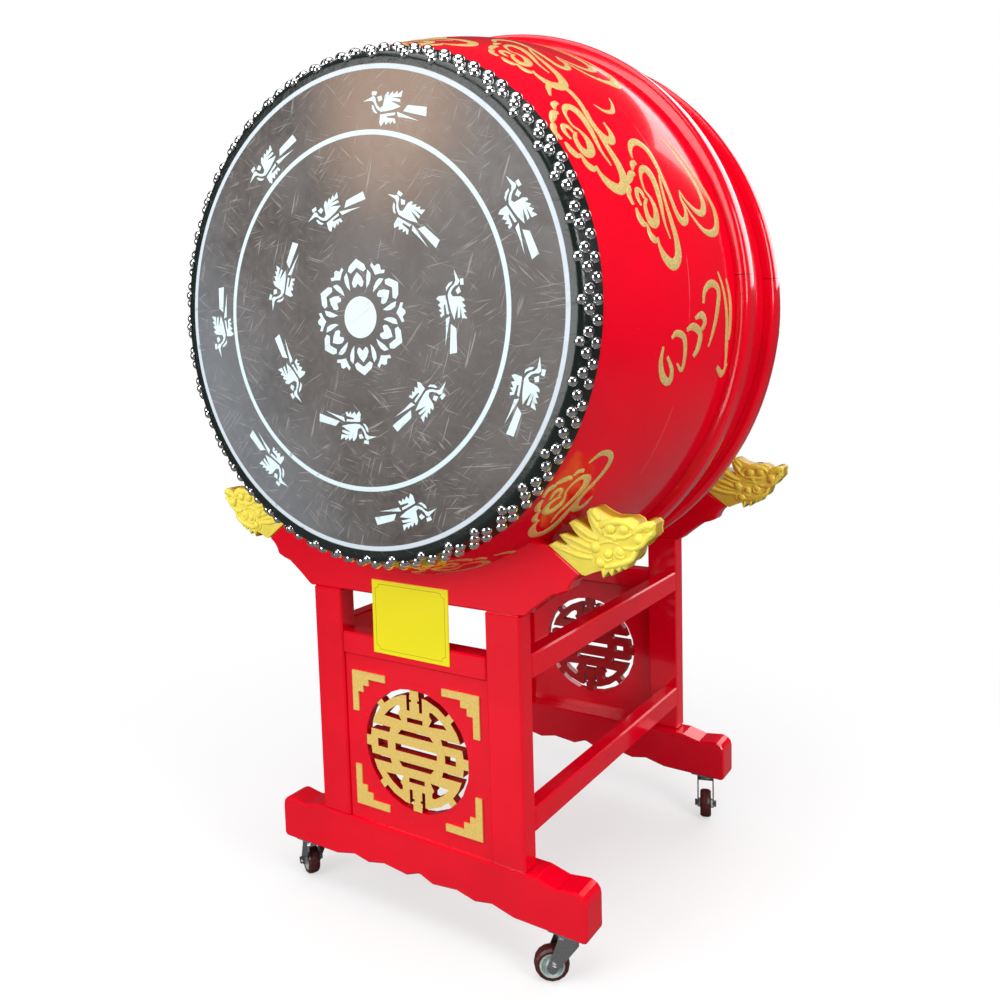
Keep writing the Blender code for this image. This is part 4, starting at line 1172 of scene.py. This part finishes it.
@dataclass
class Studio:
    """The camera, the lights and the floor.

    Attributes:
        place: where the camera is.
        yaw: its turn about the upright, from straight ahead towards the left, in radians.
        pitch: its tilt upwards.
        roll: its turn about its own line of sight.
        lens: its lens on a 36 mm frame.
        shift: how far its frame is shifted.
        aim: what the lamps point at.
        sky_light: the world's strength as light.
        sky_reflected: its strength in reflections.
        floor_radius: the floor's radius.
    """

    place: tuple[float, float, float] = (1.0106, -1.6876, 1.0866)
    yaw: float = 0.6182
    pitch: float = -0.0957
    roll: float = -0.0343
    lens: float = 33.40
    shift: Point = (0.0665, -0.0551)
    aim: tuple[float, float, float] = (0.0, 0.0, 0.95)
    sky_light: float = 0.62
    sky_reflected: float = 0.05
    floor_radius: float = 9.0

    def set_camera(self) -> None:
        """Makes the photograph's camera."""
        flat = math.cos(self.pitch)
        ahead = Vector((-math.sin(self.yaw) * flat, math.cos(self.yaw) * flat, math.sin(self.pitch)))
        level = ahead.cross(Vector((0.0, 0.0, 1.0))).normalized()
        above = level.cross(ahead)
        right = level * math.cos(self.roll) + above * math.sin(self.roll)
        up = above * math.cos(self.roll) - level * math.sin(self.roll)
        data = bpy.data.cameras.new("camera")
        data.sensor_width = 36.0
        data.lens = self.lens
        data.shift_x, data.shift_y = self.shift
        camera = bpy.data.objects.new("camera", data)
        camera.matrix_world = Matrix.Translation(self.place) @ Matrix((right, up, -ahead)).transposed().to_4x4()
        bpy.context.scene.collection.objects.link(camera)
        bpy.context.scene.camera = camera

    def set_lights(self) -> None:
        """Makes the soft lamps."""
        for lamp in LAMPS:
            data = bpy.data.lights.new(lamp.name, "AREA")
            data.size = lamp.size
            data.energy = lamp.power
            made = bpy.data.objects.new(lamp.name, data)
            made.location = lamp.place
            made.rotation_euler = (Vector(lamp.place) - Vector(self.aim)).to_track_quat("Z", "Y").to_euler()
            bpy.context.scene.collection.objects.link(made)

    def set_world(self) -> None:
        """Makes a world that is white to the camera, softer as light and dim in reflections."""
        world = bpy.data.worlds.new("pale_world")
        world.use_nodes = True
        tree = world.node_tree
        ray = tree.nodes.new("ShaderNodeLightPath")

        def maths(operation: str, *values: object) -> bpy.types.NodeSocket:
            """Makes a Math node of sockets and numbers."""
            made = tree.nodes.new("ShaderNodeMath")
            made.operation = operation
            for place, value in zip(made.inputs, values):
                if isinstance(value, float):
                    place.default_value = value
                else:
                    tree.links.new(value, place)
            return made.outputs[0]

        seen = maths("MAXIMUM", ray.outputs["Is Camera Ray"], ray.outputs["Is Transmission Ray"])
        lit = maths("MULTIPLY_ADD", ray.outputs["Is Glossy Ray"], self.sky_reflected - self.sky_light, self.sky_light)
        strength = maths("MAXIMUM", seen, lit)
        sky = tree.nodes["Background"]
        sky.inputs["Color"].default_value = (1.0, 1.0, 1.0, 1.0)
        tree.links.new(strength, sky.inputs["Strength"])
        bpy.context.scene.world = world

    def set_floor(self) -> None:
        """Makes the plain pale floor."""
        bm = bmesh.new()
        bmesh.ops.create_circle(bm, cap_ends=True, segments=96, radius=self.floor_radius)
        mesh = bpy.data.meshes.new("floor")
        bm.to_mesh(mesh)
        bm.free()
        s = Shader("pale_floor")
        haze = s.noise(2.0, 3.0)
        x, y, _ = s.axes()
        ray = s.rays()
        pale = s.mix(haze * 0.3, (0.92, 0.92, 0.92), (0.88, 0.88, 0.89))
        s.finish(Base_Color=s.mix(ray["Is Camera Ray"], (0.12, 0.12, 0.12), pale), Roughness=haze * 0.1 + 0.5)
        far = s.maths("SQRT", x * x + y * y).ramp(0.5, 1.9) * 0.45 + 0.55
        s.glow((1.0, 1.0, 1.0), far * Value(s, ray["Is Camera Ray"]))
        mesh.materials.append(s.material)
        floor = bpy.data.objects.new("floor", mesh)
        bpy.context.scene.collection.objects.link(floor)

    def build(self) -> None:
        """Makes everything round the object."""
        self.set_floor()
        self.set_lights()
        self.set_world()
        self.set_camera()
        bpy.context.scene.view_settings.view_transform = "Standard"


def main() -> None:
    """Builds the drum, the stand and the studio."""
    logging.basicConfig(level=logging.INFO, format="%(message)s")
    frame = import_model()
    paints = Paints()
    Stand(paints, frame).build()
    Drum(paints).build()
    Studio().build()


if __name__ == "__main__":
    main()
